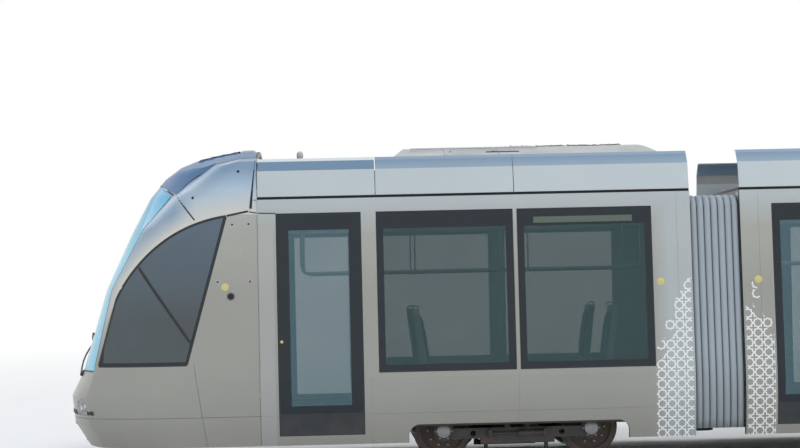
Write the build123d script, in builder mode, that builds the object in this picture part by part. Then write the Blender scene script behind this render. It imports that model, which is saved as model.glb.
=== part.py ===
from build123d import *
import os
from math import cos, radians, sin, sqrt

# Articulated low-floor tram, full size, in millimetres.
# X runs along the track towards the leading cab, Y to its left, Z up from the tips of the wheel flanges.
# The rear half repeats the front half, turned half a turn about Z.

# Wheels and track
gauge = 1435
wheel_dia = 590
flange_height = 25
flange_width = 27
tread_width = 85
wheelbase = 1600
axle_dia = 130
journal_dia = 100
journal_reach = 985

# Heights above the rail
skirt_height = 200
floor_height = 350
bogie_floor_height = 450
door_foot_height = 305
waist_height = 900
sill_height = 960
clear_head_height = 2490
ceiling_height = 2535
head_height = 2670
cant_height = 2825
deck_height = 2855
crease_height = 3136
fairing_height = 3270
crown_height = 3426

# Half widths of the body at those heights
skirt_half = 1240
waist_half = 1325
cant_half = 1250
deck_half = 1215
crease_half = 1200
fairing_half = 1095

# Thicknesses and gaps
wall = 70
slab = 80
pane = 12
leaf = 45
leaf_glass = 8
fairing = 32
seam = 4
seat_gap = 0.3
rebate = 30
running_gap = 5

# Lengths of the bays along the body
end_bay = 425
rear_window_bay = 1445
front_window_bay = 1465
window_strip = 45
pillar_bay = 160
cab_door_bay = 910
post_bay = 195
mid_end_bay = 340
mid_door_bay = 1420
mid_window_bay = 1380
centre_end_bay = 450
centre_window_bay = 1257.5
nose_length = 2150
end_gap = 540

# Gangways and articulations
passage_half = 620
portal = 60
pivot_pin_dia = 90
tongue_half = 130
tongue_depth = 50
fork_half = 150
fork_depth = 40
turntable_dia = 1200
turntable_depth = 20
bellows_inset = 40
bellows_depth = 90
bellows_fold = 35
bellows_folds = 7
bellows_foot_height = 275

# Nose
nose_shell = 50
cap_shell = 25
screen_glass = 15
screen_border = 35

# Bogie
sill_y = 890
sill_width = 90
axlebox_half = 110
transom_x = 330
transom_width = 150
arch_half = 1180
arch_height = 395
arch_radius = 120
well_gap = 30
well_skin = 15

# Pantograph
arm_length = 1200
arm_rest_angle = 6
pan_pivot_height = 3160
pan_pivot_x = 560
pan_tube = 60
head_half = 750
rod_tube = 30

# Seats
seat_width = 440
pole_dia = 35

rail = flange_height
axle_z = rail + wheel_dia / 2
skirt_z = rail + skirt_height
floor_z = rail + floor_height
bogie_floor_z = rail + bogie_floor_height
waist_z = rail + waist_height
sill_z = rail + sill_height
clear_head_z = rail + clear_head_height
ceiling_z = rail + ceiling_height
head_z = rail + head_height
cant_z = rail + cant_height
deck_z = rail + deck_height
crease_z = rail + crease_height
fairing_z = rail + fairing_height
crown_z = rail + crown_height
door_foot_z = rail + door_foot_height
door_head_z = head_z
vault_z = ceiling_z + 80
vault_half = passage_half - 80

# Bays of each section from its inner end outwards: kind, length
centre_bays = [
    ("panel", centre_end_bay),
    ("window", centre_window_bay),
    ("strip", window_strip),
    ("window", centre_window_bay),
    ("panel", centre_end_bay),
]
mid_bays = [
    ("panel", mid_end_bay),
    ("door", mid_door_bay),
    ("pillar", pillar_bay),
    ("window", mid_window_bay),
    ("strip", window_strip),
    ("window", mid_window_bay),
    ("pillar", pillar_bay),
    ("door", mid_door_bay),
    ("panel", mid_end_bay),
]
front_bays = [
    ("panel", end_bay),
    ("window", rear_window_bay),
    ("strip", window_strip),
    ("window", front_window_bay),
    ("pillar", pillar_bay),
    ("cab door", cab_door_bay),
    ("post", post_bay),
]


def laid_out(start, bays):
    """Rows of kind, start and end for bays laid end to end from a station."""
    rows = []
    for kind, length in bays:
        rows.append((kind, start, start + length))
        start += length
    return rows


centre_length = sum(length for kind, length in centre_bays)
centre_rows = laid_out(-centre_length / 2, centre_bays)
inner_pivot_x = centre_length / 2 + end_gap / 2
mid_rows = laid_out(inner_pivot_x + end_gap / 2, mid_bays)
outer_pivot_x = mid_rows[-1][2] + end_gap / 2
front_rows = laid_out(outer_pivot_x + end_gap / 2, front_bays)
cab_line = front_rows[-1][2]
front_bogie_x = front_rows[2][1] + window_strip / 2

skin_radius = ((waist_half - skirt_half) ** 2 + (waist_z - skirt_z) ** 2) / (2 * (waist_half - skirt_half))


def skin_y(z):
    """Half width of the body at height z: an arc below the waist and a straight taper above it."""
    if z < waist_z:
        return waist_half - skin_radius + sqrt(skin_radius ** 2 - (waist_z - z) ** 2)
    return waist_half + (cant_half - waist_half) * (z - waist_z) / (cant_z - waist_z)


def side_strip(station, outer, inner, low, high):
    """Section of the side between two depths under its skin and between two heights."""
    knee = max(low, waist_z)
    with BuildSketch(Plane.YZ.offset(station)) as strip:
        with BuildLine():
            for depth in (outer, inner):
                Line((skin_y(knee) - depth, knee), (skin_y(high) - depth, high))
                if low < waist_z:
                    TangentArc((waist_half - depth, waist_z), (skin_y(low) - depth, low), tangent=(0, -1))
            for z in (low, high):
                Line((skin_y(z) - outer, z), (skin_y(z) - inner, z))
        make_face()
    return strip.sketch


def core_section(station, depth, low, high):
    """Whole section of the body inside a depth under its skin and between two heights."""
    with BuildSketch(Plane.YZ.offset(station)) as core:
        with BuildLine():
            Line((0, high), (skin_y(high) - depth, high))
            Line((skin_y(high) - depth, high), (waist_half - depth, waist_z))
            TangentArc((waist_half - depth, waist_z), (skin_y(low) - depth, low), tangent=(0, -1))
            Line((skin_y(low) - depth, low), (0, low))
            mirror(about=Plane.YZ)
        make_face()
    return core.sketch


def outline(plane, points):
    """Closed straight-sided sketch on a plane."""
    with BuildSketch(plane) as sketch:
        with BuildLine():
            Polyline(*points, close=True)
        make_face()
    return sketch.sketch


def save(part, name):
    """Label a finished piece and write it."""
    part.label = name
    export_step(part, f"parts/{name}.step")


def save_pair(part, front_name, rear_name):
    """Write a piece of the front half, and its copy turned half a turn for the rear half."""
    save(part, front_name)
    with BuildPart() as turned:
        add(part, rotation=(0, 0, 180))
    save(turned.part, rear_name)


# Side walls with their window and door openings, end portals and bogie arches

def cut_rebated(start, end, low, high, depth, border, border_top):
    """Rebate that a pane or leaf lies in, and the clear opening behind it."""
    extrude(side_strip(start, -rebate, depth + seat_gap, low, high), amount=end - start, mode=Mode.SUBTRACT)
    clear = side_strip(start + border, -rebate, wall + rebate, low + border, high - border_top)
    extrude(clear, amount=end - start - 2 * border, mode=Mode.SUBTRACT)


window_border = 75
window_border_top = head_z - clear_head_z
groove_depth = 3
skirt_joint_height = 520
end_joint_reach = 151
end_joint_reach_mid = 195


def cut_panel_joints(rows, end_joints):
    """Grooves between the outer panels: beside the gangways, under the pillars and strips, and along the skirt."""
    low_z = rail + skirt_joint_height - seam / 2
    high_z = low_z + seam
    for joint_x in end_joints:
        joint = side_strip(joint_x - seam / 2, -rebate, groove_depth, skirt_z - seam, cant_z + seam)
        extrude(joint, amount=seam, mode=Mode.SUBTRACT)
    for kind, start, end in rows:
        if kind in ("strip", "pillar"):
            joint = side_strip((start + end - seam) / 2, -rebate, groove_depth, skirt_z - seam, sill_z - seam)
            extrude(joint, amount=seam, mode=Mode.SUBTRACT)
        if kind not in ("door", "cab door"):
            joint = outline(Plane.YZ.offset(start), [
                (skin_y(low_z) + rebate, low_z), (skin_y(low_z) - groove_depth, low_z),
                (skin_y(high_z) - groove_depth, high_z), (skin_y(high_z) + rebate, high_z)])
            extrude(joint, amount=end - start, mode=Mode.SUBTRACT)


def make_walls(rows, portal_stations, end_joints, bogie_x=None):
    """Both side walls of a section, with half-portals that close its ends beside the gangway."""
    first = rows[0][1]
    last = rows[-1][2]
    with BuildPart() as walls:
        extrude(side_strip(first, 0, wall, skirt_z, cant_z), amount=last - first)
        for station in portal_stations:
            extrude(side_strip(station, wall + seat_gap, waist_half, floor_z, ceiling_z), amount=portal)
        passage = outline(Plane.XY.offset(floor_z), [
            (first, -passage_half), (last, -passage_half), (last, passage_half), (first, passage_half)])
        extrude(passage, amount=ceiling_z - floor_z, mode=Mode.SUBTRACT)
        for kind, start, end in rows:
            if kind == "window":
                cut_rebated(start, end, sill_z - seam, head_z + seam, pane, window_border, window_border_top)
            if kind in ("door", "cab door"):
                cut_rebated(start, end, door_foot_z - seam, door_head_z + seam, leaf, rebate, rebate)
        cut_panel_joints(rows, end_joints)
        if bogie_x is not None:
            with BuildSketch(Plane.XZ) as arch:
                with Locations((bogie_x, rail + arch_height / 2)):
                    Rectangle(2 * arch_half, arch_height)
                fillet(arch.vertices().group_by(Axis.Y)[-1], radius=arch_radius)
            extrude(arch.sketch, amount=waist_half, both=True, mode=Mode.SUBTRACT)
        mirror(about=Plane.XZ)
    return walls.part


def leaf_spans(kind, start, end):
    """Start and end of each leaf of a doorway: one at the cab, two elsewhere."""
    middle = (start + end) / 2
    if kind == "cab door":
        return [(start + seam, end - seam)]
    return [(start + seam, middle - seam / 2), (middle + seam / 2, end - seam)]


leaf_glass_low = rail + 540
leaf_glass_high = door_head_z - 25
leaf_glass_border = 14
leaf_clear_border = 80


def make_doors(rows):
    """Flush sliding-plug leaves, each rebated for its bonded glass."""
    with BuildPart() as doors:
        for kind, start, end in rows:
            if kind not in ("door", "cab door"):
                continue
            for low_x, high_x in leaf_spans(kind, start, end):
                extrude(side_strip(low_x, 0, leaf, door_foot_z, door_head_z), amount=high_x - low_x)
                bed_length = high_x - low_x - 2 * leaf_glass_border
                bed = side_strip(low_x + leaf_glass_border, -rebate, leaf_glass + seat_gap,
                                 leaf_glass_low, leaf_glass_high)
                extrude(bed, amount=bed_length, mode=Mode.SUBTRACT)
                clear = side_strip(low_x + leaf_clear_border, -rebate, leaf + rebate,
                                   leaf_glass_low + rebate, clear_head_z)
                extrude(clear, amount=high_x - low_x - 2 * leaf_clear_border, mode=Mode.SUBTRACT)
        mirror(about=Plane.XZ)
    return doors.part


def make_glazing(rows):
    """Flush panes of the windows and of the door leaves."""
    with BuildPart() as glazing:
        for kind, start, end in rows:
            if kind == "window":
                panel = side_strip(start + seam, 0, pane, sill_z, head_z)
                extrude(panel, amount=end - start - 2 * seam)
            if kind in ("door", "cab door"):
                for low_x, high_x in leaf_spans(kind, start, end):
                    inset = leaf_glass_border + 1
                    panel = side_strip(low_x + inset, 0, leaf_glass, leaf_glass_low + 1, leaf_glass_high - 1)
                    extrude(panel, amount=high_x - low_x - 2 * inset)
        mirror(about=Plane.XZ)
    return glazing.part


# Floors, with the raised part over a bogie, and the two halves of the articulation

raised_half = arch_half - 30
ramp = 300
bearer_depth = 55
bearer_half = 1080


def floor_profile(first, last, bogie_x):
    """Side view of the floor slab: top line forwards and underside back."""
    top = [(first, floor_z)]
    if bogie_x is not None:
        top += [
            (bogie_x - raised_half - ramp, floor_z),
            (bogie_x - raised_half, bogie_floor_z),
            (bogie_x + raised_half, bogie_floor_z),
            (bogie_x + raised_half + ramp, floor_z),
        ]
    top.append((last, floor_z))
    under = [(x, z - slab) for x, z in reversed(top)]
    return outline(Plane.XZ, top + under)


def axle_stations(bogie_x):
    """Stations of the two axles of a bogie."""
    return (bogie_x - wheelbase / 2, bogie_x + wheelbase / 2)


well_radius = wheel_dia / 2 + flange_height + well_gap
wheel_inner_y = gauge / 2 - flange_width
wheel_outer_y = gauge / 2 + tread_width
well_inner_y = wheel_inner_y - well_gap
well_outer_y = sill_y + sill_width + well_gap


def barrel(x, z, radius, low_y, high_y, mode=Mode.ADD):
    """Round bar or bore across the body, from one Y to another."""
    with BuildSketch(Plane.XZ.offset(-high_y)) as ring:
        with Locations((x, z)):
            Circle(radius)
    extrude(ring.sketch, amount=high_y - low_y, mode=mode)


def posts(places, radius, low, high, mode=Mode.ADD):
    """Upright round bars or bores at some points of the plan, from one height to another."""
    with BuildSketch(Plane.XY.offset(low)) as rings:
        with Locations(*places):
            Circle(radius)
    extrude(rings.sketch, amount=high - low, mode=mode)


def post(x, y, radius, low, high, mode=Mode.ADD):
    """One upright round bar or bore."""
    posts([(x, y)], radius, low, high, mode)


def block(low_x, high_x, low_y, high_y, low, high, mode=Mode.ADD):
    """Square block between two corners."""
    with BuildSketch(Plane.XY.offset(low)) as foot:
        with Locations(((low_x + high_x) / 2, (low_y + high_y) / 2)):
            Rectangle(high_x - low_x, high_y - low_y)
    extrude(foot.sketch, amount=high - low, mode=mode)


def wheel_covers(bogie_x):
    """Round-topped covers that stand in the raised floor over the wheels."""
    for side in (-1, 1):
        inner, outer = sorted((side * well_inner_y, side * well_outer_y))
        for axle_x in axle_stations(bogie_x):
            with BuildSketch(Plane.XZ.offset(-outer - well_skin)) as cover:
                with Locations((axle_x, axle_z)):
                    Circle(well_radius + well_skin)
                with Locations((axle_x, bogie_floor_z - slab - well_radius)):
                    Rectangle(3 * well_radius, 2 * well_radius, mode=Mode.SUBTRACT)
            extrude(cover.sketch, amount=outer - inner + 2 * well_skin)
            barrel(axle_x, axle_z, well_radius, inner, outer, mode=Mode.SUBTRACT)


def raised_floor_cuts(bogie_x):
    """Joints of the floor at the feet of its ramps, and the holes that the wheel covers stand in."""
    for way in (-1, 1):
        joint_x = bogie_x + way * (raised_half + ramp)
        block(joint_x - seat_gap / 2, joint_x + seat_gap / 2, -waist_half, waist_half, skirt_z, bogie_floor_z,
              mode=Mode.SUBTRACT)
    for side in (-1, 1):
        inner, outer = sorted((side * (well_inner_y - well_skin - seat_gap),
                               side * (well_outer_y + well_skin + seat_gap)))
        for axle_x in axle_stations(bogie_x):
            barrel(axle_x, axle_z, well_radius + well_skin + seat_gap, inner, outer, mode=Mode.SUBTRACT)


turntable_top = floor_z - running_gap
turntable_low = turntable_top - turntable_depth
tongue_top = floor_z - slab - running_gap
tongue_low = tongue_top - tongue_depth
fork_top = floor_z - slab + fork_depth
fork_low = tongue_low - running_gap - fork_depth
pin_gap = 1


def tongue_and_turntable(pivot_x, way):
    """Half of the articulation on the inner section: the gangway's round floor and the pivot tongue."""
    post(pivot_x, 0, turntable_dia / 2, turntable_low, turntable_top)
    root_x = pivot_x - way * (end_gap / 2 + 210)
    lug_x = pivot_x - way * (end_gap / 2 + 20)
    post(pivot_x, 0, tongue_half, tongue_low, tongue_top)
    low_x, high_x = sorted((root_x, pivot_x))
    block(low_x, high_x, -tongue_half, tongue_half, tongue_low, tongue_top)
    low_x, high_x = sorted((root_x, lug_x))
    block(low_x, high_x, -tongue_half, tongue_half, tongue_low, floor_z - slab)
    post(pivot_x, 0, pivot_pin_dia / 2 + pin_gap, tongue_low, tongue_top, mode=Mode.SUBTRACT)


def fork(pivot_x):
    """Half of the articulation on the outer section: the fork with its pin, under a cut for the turntable."""
    post(pivot_x, 0, turntable_dia / 2 + 2 * running_gap, turntable_low - running_gap, floor_z,
         mode=Mode.SUBTRACT)
    slab_x = pivot_x + end_gap / 2
    web_x = pivot_x + fork_half + 50
    post(pivot_x, 0, fork_half, fork_top - fork_depth, fork_top)
    block(pivot_x, slab_x, -fork_half, fork_half, fork_top - fork_depth, fork_top)
    post(pivot_x, 0, fork_half, fork_low, fork_low + fork_depth)
    block(pivot_x, slab_x + fork_half, -fork_half, fork_half, fork_low, fork_low + fork_depth)
    block(web_x, slab_x + fork_half, -fork_half, fork_half, fork_low, floor_z - slab)
    post(pivot_x, 0, pivot_pin_dia / 2, fork_low, fork_top)


def make_floor(rows, bearers, bogie_x=None, tongues=(), fork_x=None):
    """Floor slab between the side walls, with cross bearers, wheel covers and articulation halves."""
    first = rows[0][1]
    last = rows[-1][2]
    with BuildPart() as floor:
        extrude(floor_profile(first, last, bogie_x), amount=waist_half, both=True)
        for x in bearers:
            block(x - 40, x + 40, -bearer_half, bearer_half, floor_z - slab - bearer_depth, floor_z - slab)
        core = core_section(first, wall + seat_gap, skirt_z, waist_z + slab)
        extrude(core, amount=last - first, mode=Mode.INTERSECT)
        if bogie_x is not None:
            raised_floor_cuts(bogie_x)
            wheel_covers(bogie_x)
        for pivot_x, way in tongues:
            tongue_and_turntable(pivot_x, way)
        if fork_x is not None:
            fork(fork_x)
    return floor.part


# Roofs with their side fairings

fairing_lip = 50
fairing_foot = 12
foot_reach = 95


def roof_section(station):
    """Ceiling, roof block between the walls, and the deck whose set-back edge leaves a dark groove."""
    edge = skin_y(ceiling_z) - wall
    top_edge = skin_y(cant_z) - wall
    half = [(edge, ceiling_z), (top_edge, cant_z), (deck_half, cant_z), (deck_half, deck_z)]
    vault = [(-vault_half, vault_z), (vault_half, vault_z), (passage_half, ceiling_z)]
    far = [(-y, z) for y, z in reversed(half)]
    return outline(Plane.YZ.offset(station), half + far + [(-passage_half, ceiling_z)] + vault)


def fairing_section(station):
    """Creased panel that stands along the edge of the deck, with a foot and a turned-in lip."""
    foot_half = cant_half - 5
    points = [
        (foot_half, deck_z),
        (crease_half, crease_z),
        (fairing_half, fairing_z),
        (fairing_half - fairing_lip, fairing_z),
        (fairing_half - fairing_lip, fairing_z - fairing_foot),
        (fairing_half - fairing / 2, fairing_z - fairing_foot),
        (crease_half - fairing, crease_z - fairing / 3),
        (foot_half - fairing, deck_z + fairing_foot),
        (foot_half - foot_reach, deck_z + fairing_foot),
        (foot_half - foot_reach, deck_z),
    ]
    return outline(Plane.YZ.offset(station), points)


def make_roof(rows, fairing_seams):
    """Roof of a section, with its fairings split into panels at the given stations."""
    first = rows[0][1]
    last = rows[-1][2]
    ends = [first] + list(fairing_seams) + [last]
    with BuildPart() as roof:
        extrude(roof_section(first), amount=last - first)
        for low_x, high_x in zip(ends[:-1], ends[1:]):
            panel = fairing_section(low_x + seam)
            extrude(panel, amount=high_x - low_x - 2 * seam)
            extrude(mirror(panel, about=Plane.XZ, mode=Mode.PRIVATE), amount=high_x - low_x - 2 * seam)
    return roof.part


# Bogies: outboard frame with axleboxes, transoms, motors, springs and track brakes

sill_top = axle_z + 25
sill_low = sill_top - 115
spring_half = 110
motor_half = 115
motor_reach = 480
motor_x = 560
motor_z = axle_z - 70
magnet_gap = 10
magnet_height = 60
magnet_half = 360
magnet_width = 60
journal_gap = 0.5
bracket_y = 300
bracket_half = 40
spring_discs = 3
spring_disc = 8
cover_ring = 20
damper_reach = 300
damper_radius = 32
damper_rod = 14
damper_lug = 40
frame_hole = 60


def rubber_springs(places, radius, low, high):
    """Stacks of rubber and steel discs between a side beam and the floor."""
    posts(places, 0.8 * radius, low, high)
    pitch = (high - low) / spring_discs
    for disc in range(spring_discs):
        middle = low + (disc + 0.5) * pitch
        posts(places, radius, middle - spring_disc / 2, middle + spring_disc / 2)


def along_track(x, y, z, radius, length):
    """Round bar that runs forwards from a point."""
    with BuildSketch(Plane(origin=(x, y, z), z_dir=(1, 0, 0))) as ring:
        Circle(radius)
    extrude(ring.sketch, amount=length)


def damper(bogie_x, face_y):
    """Level damper outside a side beam: body, thinner rod, and a lug at each end."""
    middle_y = face_y + seam + damper_radius
    middle_z = (sill_top + sill_low) / 2
    along_track(bogie_x - damper_reach, middle_y, middle_z, damper_radius, damper_reach)
    along_track(bogie_x - damper_reach, middle_y, middle_z, damper_rod, 2 * damper_reach)
    for end_x in (bogie_x - damper_reach, bogie_x + damper_reach):
        block(end_x - damper_lug / 2, end_x + damper_lug / 2, face_y - seam, face_y + seam + 2 * damper_radius,
              middle_z - damper_lug, middle_z + damper_lug)


def make_bogie(bogie_x):
    """Bogie frame whose axleboxes hold the journals and whose springs meet the raised floor."""
    sill_outer = sill_y + sill_width
    sill_middle = sill_y + sill_width / 2
    magnet_low = rail + magnet_gap
    rail_y = gauge / 2 + magnet_width / 2
    with BuildPart() as bogie:
        with BuildSketch(Plane.XZ.offset(-sill_outer)) as sill:
            with Locations((bogie_x, (sill_top + sill_low) / 2)):
                Rectangle(wheelbase, sill_top - sill_low)
            with Locations((bogie_x, sill_low)):
                Rectangle(wheelbase / 2, spring_half)
            for axle_x in axle_stations(bogie_x):
                with Locations((axle_x, axle_z)):
                    Circle(axlebox_half)
            for way in (-1, 1):
                with Locations((bogie_x + way * (transom_x + transom_width), (sill_top + sill_low) / 2)):
                    Circle(frame_hole / 2, mode=Mode.SUBTRACT)
        extrude(sill.sketch, amount=sill_width)
        rubber_springs([(bogie_x - spring_half, sill_middle), (bogie_x + spring_half, sill_middle)],
                       0.48 * sill_width, sill_top, bogie_floor_z - slab)
        damper(bogie_x, sill_outer)
        for axle_x in axle_stations(bogie_x):
            barrel(axle_x, axle_z, axlebox_half - cover_ring, sill_outer, sill_outer + cover_ring)
        block(bogie_x - magnet_half, bogie_x + magnet_half, rail_y - magnet_width / 2, rail_y + magnet_width / 2,
              magnet_low, magnet_low + magnet_height)
        for way in (-1, 1):
            beam_x = bogie_x + way * transom_x
            block(beam_x - 20, beam_x + 20, rail_y - 20, rail_y + 20, magnet_low + magnet_height, sill_low)
            block(beam_x - transom_width / 2, beam_x + transom_width / 2, 0, sill_outer, sill_low, sill_top)
            barrel(bogie_x + way * motor_x, motor_z, motor_half, 0, motor_reach)
            low_x, high_x = sorted((beam_x, bogie_x + way * motor_x))
            block(low_x, high_x, bracket_y - bracket_half, bracket_y + bracket_half,
                  motor_z - bracket_half, motor_z + bracket_half)
        for axle_x in axle_stations(bogie_x):
            barrel(axle_x, axle_z, journal_dia / 2 + journal_gap, 0, waist_half, mode=Mode.SUBTRACT)
        mirror(about=Plane.XZ)
    return bogie.part


save_pair(make_bogie(front_bogie_x), "front_bogie", "rear_bogie")
save(make_bogie(0), "centre_bogie")


# Wheelsets: axle, webs and flanged treads, turned about the axle line

web_width = 30
hub_half = 85
rim_depth = 55


def make_wheelset(axle_x):
    """Solid of revolution: half its profile from the journal end to the middle, mirrored."""
    tread = wheel_dia / 2
    rim = tread - rim_depth
    web_y = (wheel_inner_y + wheel_outer_y) / 2
    web_in = web_y - web_width / 2
    web_out = web_y + web_width / 2
    half = [
        (journal_reach, 0),
        (journal_reach, journal_dia / 2),
        (wheel_outer_y + 10, journal_dia / 2),
        (wheel_outer_y + 10, hub_half),
        (web_out, hub_half),
        (web_out, rim),
        (wheel_outer_y, rim),
        (wheel_outer_y, tread - 4),
        (gauge / 2 + 12, tread),
        (gauge / 2, tread + flange_height / 2),
        (gauge / 2 - flange_width / 2, tread + flange_height),
        (wheel_inner_y, tread + flange_height / 2),
        (wheel_inner_y, rim),
        (web_in, rim),
        (web_in, hub_half),
        (wheel_inner_y - 20, hub_half),
        (wheel_inner_y - 20, axle_dia / 2),
    ]
    far = [(-y, radius) for y, radius in reversed(half)]
    axle_plane = Plane(origin=(axle_x, 0, axle_z), x_dir=(0, 1, 0), z_dir=(1, 0, 0))
    with BuildPart() as wheelset:
        with BuildSketch(axle_plane):
            with BuildLine():
                Polyline(*half, *far, close=True)
            make_face()
        revolve(axis=Axis((axle_x, 0, axle_z), (0, 1, 0)))
    return wheelset.part


front_axles = axle_stations(front_bogie_x)
centre_axles = axle_stations(0)
save_pair(make_wheelset(front_axles[1]), "front_wheelset_1", "rear_wheelset_1")
save_pair(make_wheelset(front_axles[0]), "front_wheelset_2", "rear_wheelset_2")
save_pair(make_wheelset(centre_axles[1]), "centre_wheelset_1", "centre_wheelset_2")


# Side walls, doors, glazing, floors and roofs of the sections

portal_front = front_rows[0][1]
portal_mid = [mid_rows[0][1], mid_rows[-1][2] - portal]
portal_centre = [centre_rows[0][1], centre_rows[-1][2] - portal]

joints_front = [portal_front + end_joint_reach]
joints_mid = [portal_mid[0] + end_joint_reach_mid, portal_mid[1] + portal - end_joint_reach_mid]
joints_centre = [portal_centre[0] + end_joint_reach, portal_centre[1] + portal - end_joint_reach]

save_pair(make_walls(front_rows, [portal_front], joints_front, front_bogie_x), "front_walls", "rear_walls")
save_pair(make_walls(mid_rows, portal_mid, joints_mid), "mid_front_walls", "mid_rear_walls")
save(make_walls(centre_rows, portal_centre, joints_centre, 0), "centre_walls")

save_pair(make_doors(front_rows), "front_doors", "rear_doors")
save_pair(make_doors(mid_rows), "mid_front_doors", "mid_rear_doors")

save_pair(make_glazing(front_rows), "front_glazing", "rear_glazing")
save_pair(make_glazing(mid_rows), "mid_front_glazing", "mid_rear_glazing")
save(make_glazing(centre_rows), "centre_glazing")

front_bearers = [cab_line - post_bay, cab_line - post_bay - cab_door_bay]
mid_bearers = [end for kind, start, end in mid_rows[:-1]]
front_floor = make_floor(front_rows, front_bearers, front_bogie_x, fork_x=outer_pivot_x)
mid_floor = make_floor(mid_rows, mid_bearers, tongues=[(outer_pivot_x, 1)], fork_x=inner_pivot_x)
centre_floor = make_floor(centre_rows, [], 0, tongues=[(inner_pivot_x, 1), (-inner_pivot_x, -1)])
save_pair(front_floor, "front_floor", "rear_floor")
save_pair(mid_floor, "mid_front_floor", "mid_rear_floor")
save(centre_floor, "centre_floor")

front_seams = [front_rows[2][1] + window_strip / 2, front_rows[4][1]]
mid_seams = [mid_rows[2][1] + pillar_bay / 2, mid_rows[6][1] + pillar_bay / 2]
save_pair(make_roof(front_rows, front_seams), "front_roof", "rear_roof")
save_pair(make_roof(mid_rows, mid_seams), "mid_front_roof", "mid_rear_roof")
save(make_roof(centre_rows, [0]), "centre_roof")


# Gangways: folded bellows round the passage, open below

def bellows_ring(station, depth):
    """Arch-shaped section of the bellows whose outside lies at a depth under the skin."""
    outer = core_section(station, depth, rail + bellows_foot_height, cant_z)
    inner = core_section(station, bellows_inset + bellows_depth, skirt_z, cant_z - bellows_depth)
    return outer - inner


def make_bellows(pivot_x):
    """Seven folds between the end faces of two sections."""
    start = pivot_x - end_gap / 2
    pitch = (end_gap - seat_gap) / bellows_folds
    with BuildPart() as bellows:
        extrude(bellows_ring(start, bellows_inset + bellows_fold), amount=end_gap - seat_gap)
        for fold in range(bellows_folds):
            ring_x = start + (fold + 0.2) * pitch
            extrude(bellows_ring(ring_x, bellows_inset), amount=0.6 * pitch)
    return bellows.part


save_pair(make_bellows(inner_pivot_x), "gangway_inner_front", "gangway_inner_rear")
save_pair(make_bellows(outer_pivot_x), "gangway_outer_front", "gangway_outer_rear")


# Interiors: seats on pedestals or on the wheel covers, poles, cab wall, desk and driver's seat

cushion_height = 430
cover_seat_rise = 260
cushion_depth = 60
back_height = 700
back_lean = 90
seat_reach = 215
leg_half = 60
seat_side = 8
shoulder_radius = 70
seat_outer_y = cant_half - wall
seat_pitch = 750
facing_pitch = 1400
well_top = axle_z + well_radius + well_skin
cab_wall_x = cab_line - post_bay / 2
cab_wall = 40
cab_door_half = 330
cab_door_height = 2300
desk_reach = 780
desk_depth = 420
desk_height = 800
desk_half = waist_half - 565
driver_reach = 330


def make_bench(x, middle_y, seats_abreast, way, low, rise):
    """Seats side by side on a pedestal, each back with rounded shoulders; way is the way the sitters face."""
    top = low + rise
    width = seats_abreast * seat_width
    back_top = top + back_height
    side_view = [
        (-leg_half, low),
        (leg_half, low),
        (leg_half, top - cushion_depth),
        (seat_reach - cushion_depth / 2, top - cushion_depth),
        (seat_reach, top - cushion_depth / 2),
        (seat_reach - cushion_depth / 3, top),
        (cushion_depth - seat_reach, top),
        (cushion_depth - seat_reach - 0.2 * back_lean, top + 0.3 * back_height),
        (cushion_depth - seat_reach - back_lean, back_top),
        (-seat_reach - back_lean, back_top),
        (-seat_reach, top - cushion_depth),
        (-leg_half, top - cushion_depth),
    ]
    points = [(x + way * forward, z) for forward, z in side_view]
    with BuildPart() as bench:
        extrude(outline(Plane.XZ.offset(-middle_y - width / 2), points), amount=width)
        with BuildSketch(Plane.YZ.offset(x - 2 * seat_reach)) as front_view:
            with Locations((middle_y, (low + top) / 2)):
                Rectangle(width, rise)
            with Locations((middle_y, (low + back_top) / 2)):
                with GridLocations(seat_width, 0, seats_abreast, 1):
                    RectangleRounded(seat_width - 2 * seat_side, back_top - low, shoulder_radius)
        extrude(front_view.sketch, amount=4 * seat_reach, mode=Mode.INTERSECT)
    return bench.part


def make_row(x, seats_abreast, way, low, rise):
    """The same seats on both sides of the aisle."""
    reach = seat_outer_y - seats_abreast * seat_width / 2
    return [make_bench(x, side * reach, seats_abreast, way, low, rise) for side in (-1, 1)]


def cab_furniture():
    """Wall behind the cab with its doorway, and the driver's desk."""
    extrude(core_section(cab_wall_x, wall + seat_gap, floor_z, ceiling_z), amount=cab_wall)
    block(cab_wall_x - cab_wall, cab_wall_x + 2 * cab_wall, -cab_door_half, cab_door_half, floor_z,
          rail + cab_door_height, mode=Mode.SUBTRACT)
    back_x = cab_line + desk_reach
    front_x = back_x + desk_depth
    desk_z = floor_z + desk_height
    desk_side = [
        (back_x + desk_depth / 2, floor_z),
        (front_x, floor_z),
        (front_x + 120, desk_z),
        (front_x, desk_z + 60),
        (back_x, desk_z - 60),
        (back_x, desk_z - 110),
        (back_x + desk_depth / 2, desk_z - 160),
    ]
    extrude(outline(Plane.XZ.offset(-desk_half), desk_side), amount=2 * desk_half)


def make_interior(rows, poles, with_cab=False):
    """Furniture of one section: seat rows (x, abreast, way, foot, rise) and poles (x, y, foot)."""
    benches = [bench for row in rows for bench in make_row(*row)]
    if with_cab:
        benches.append(make_bench(cab_line + driver_reach, 0, 1, 1, floor_z, cushion_height))
    with BuildPart() as interior:
        for bench in benches:
            add(bench)
        for x, y, low in poles:
            for side in (-1, 1):
                post(x, side * y, pole_dia / 2, low, ceiling_z)
        if with_cab:
            cab_furniture()
    return interior.part


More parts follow.
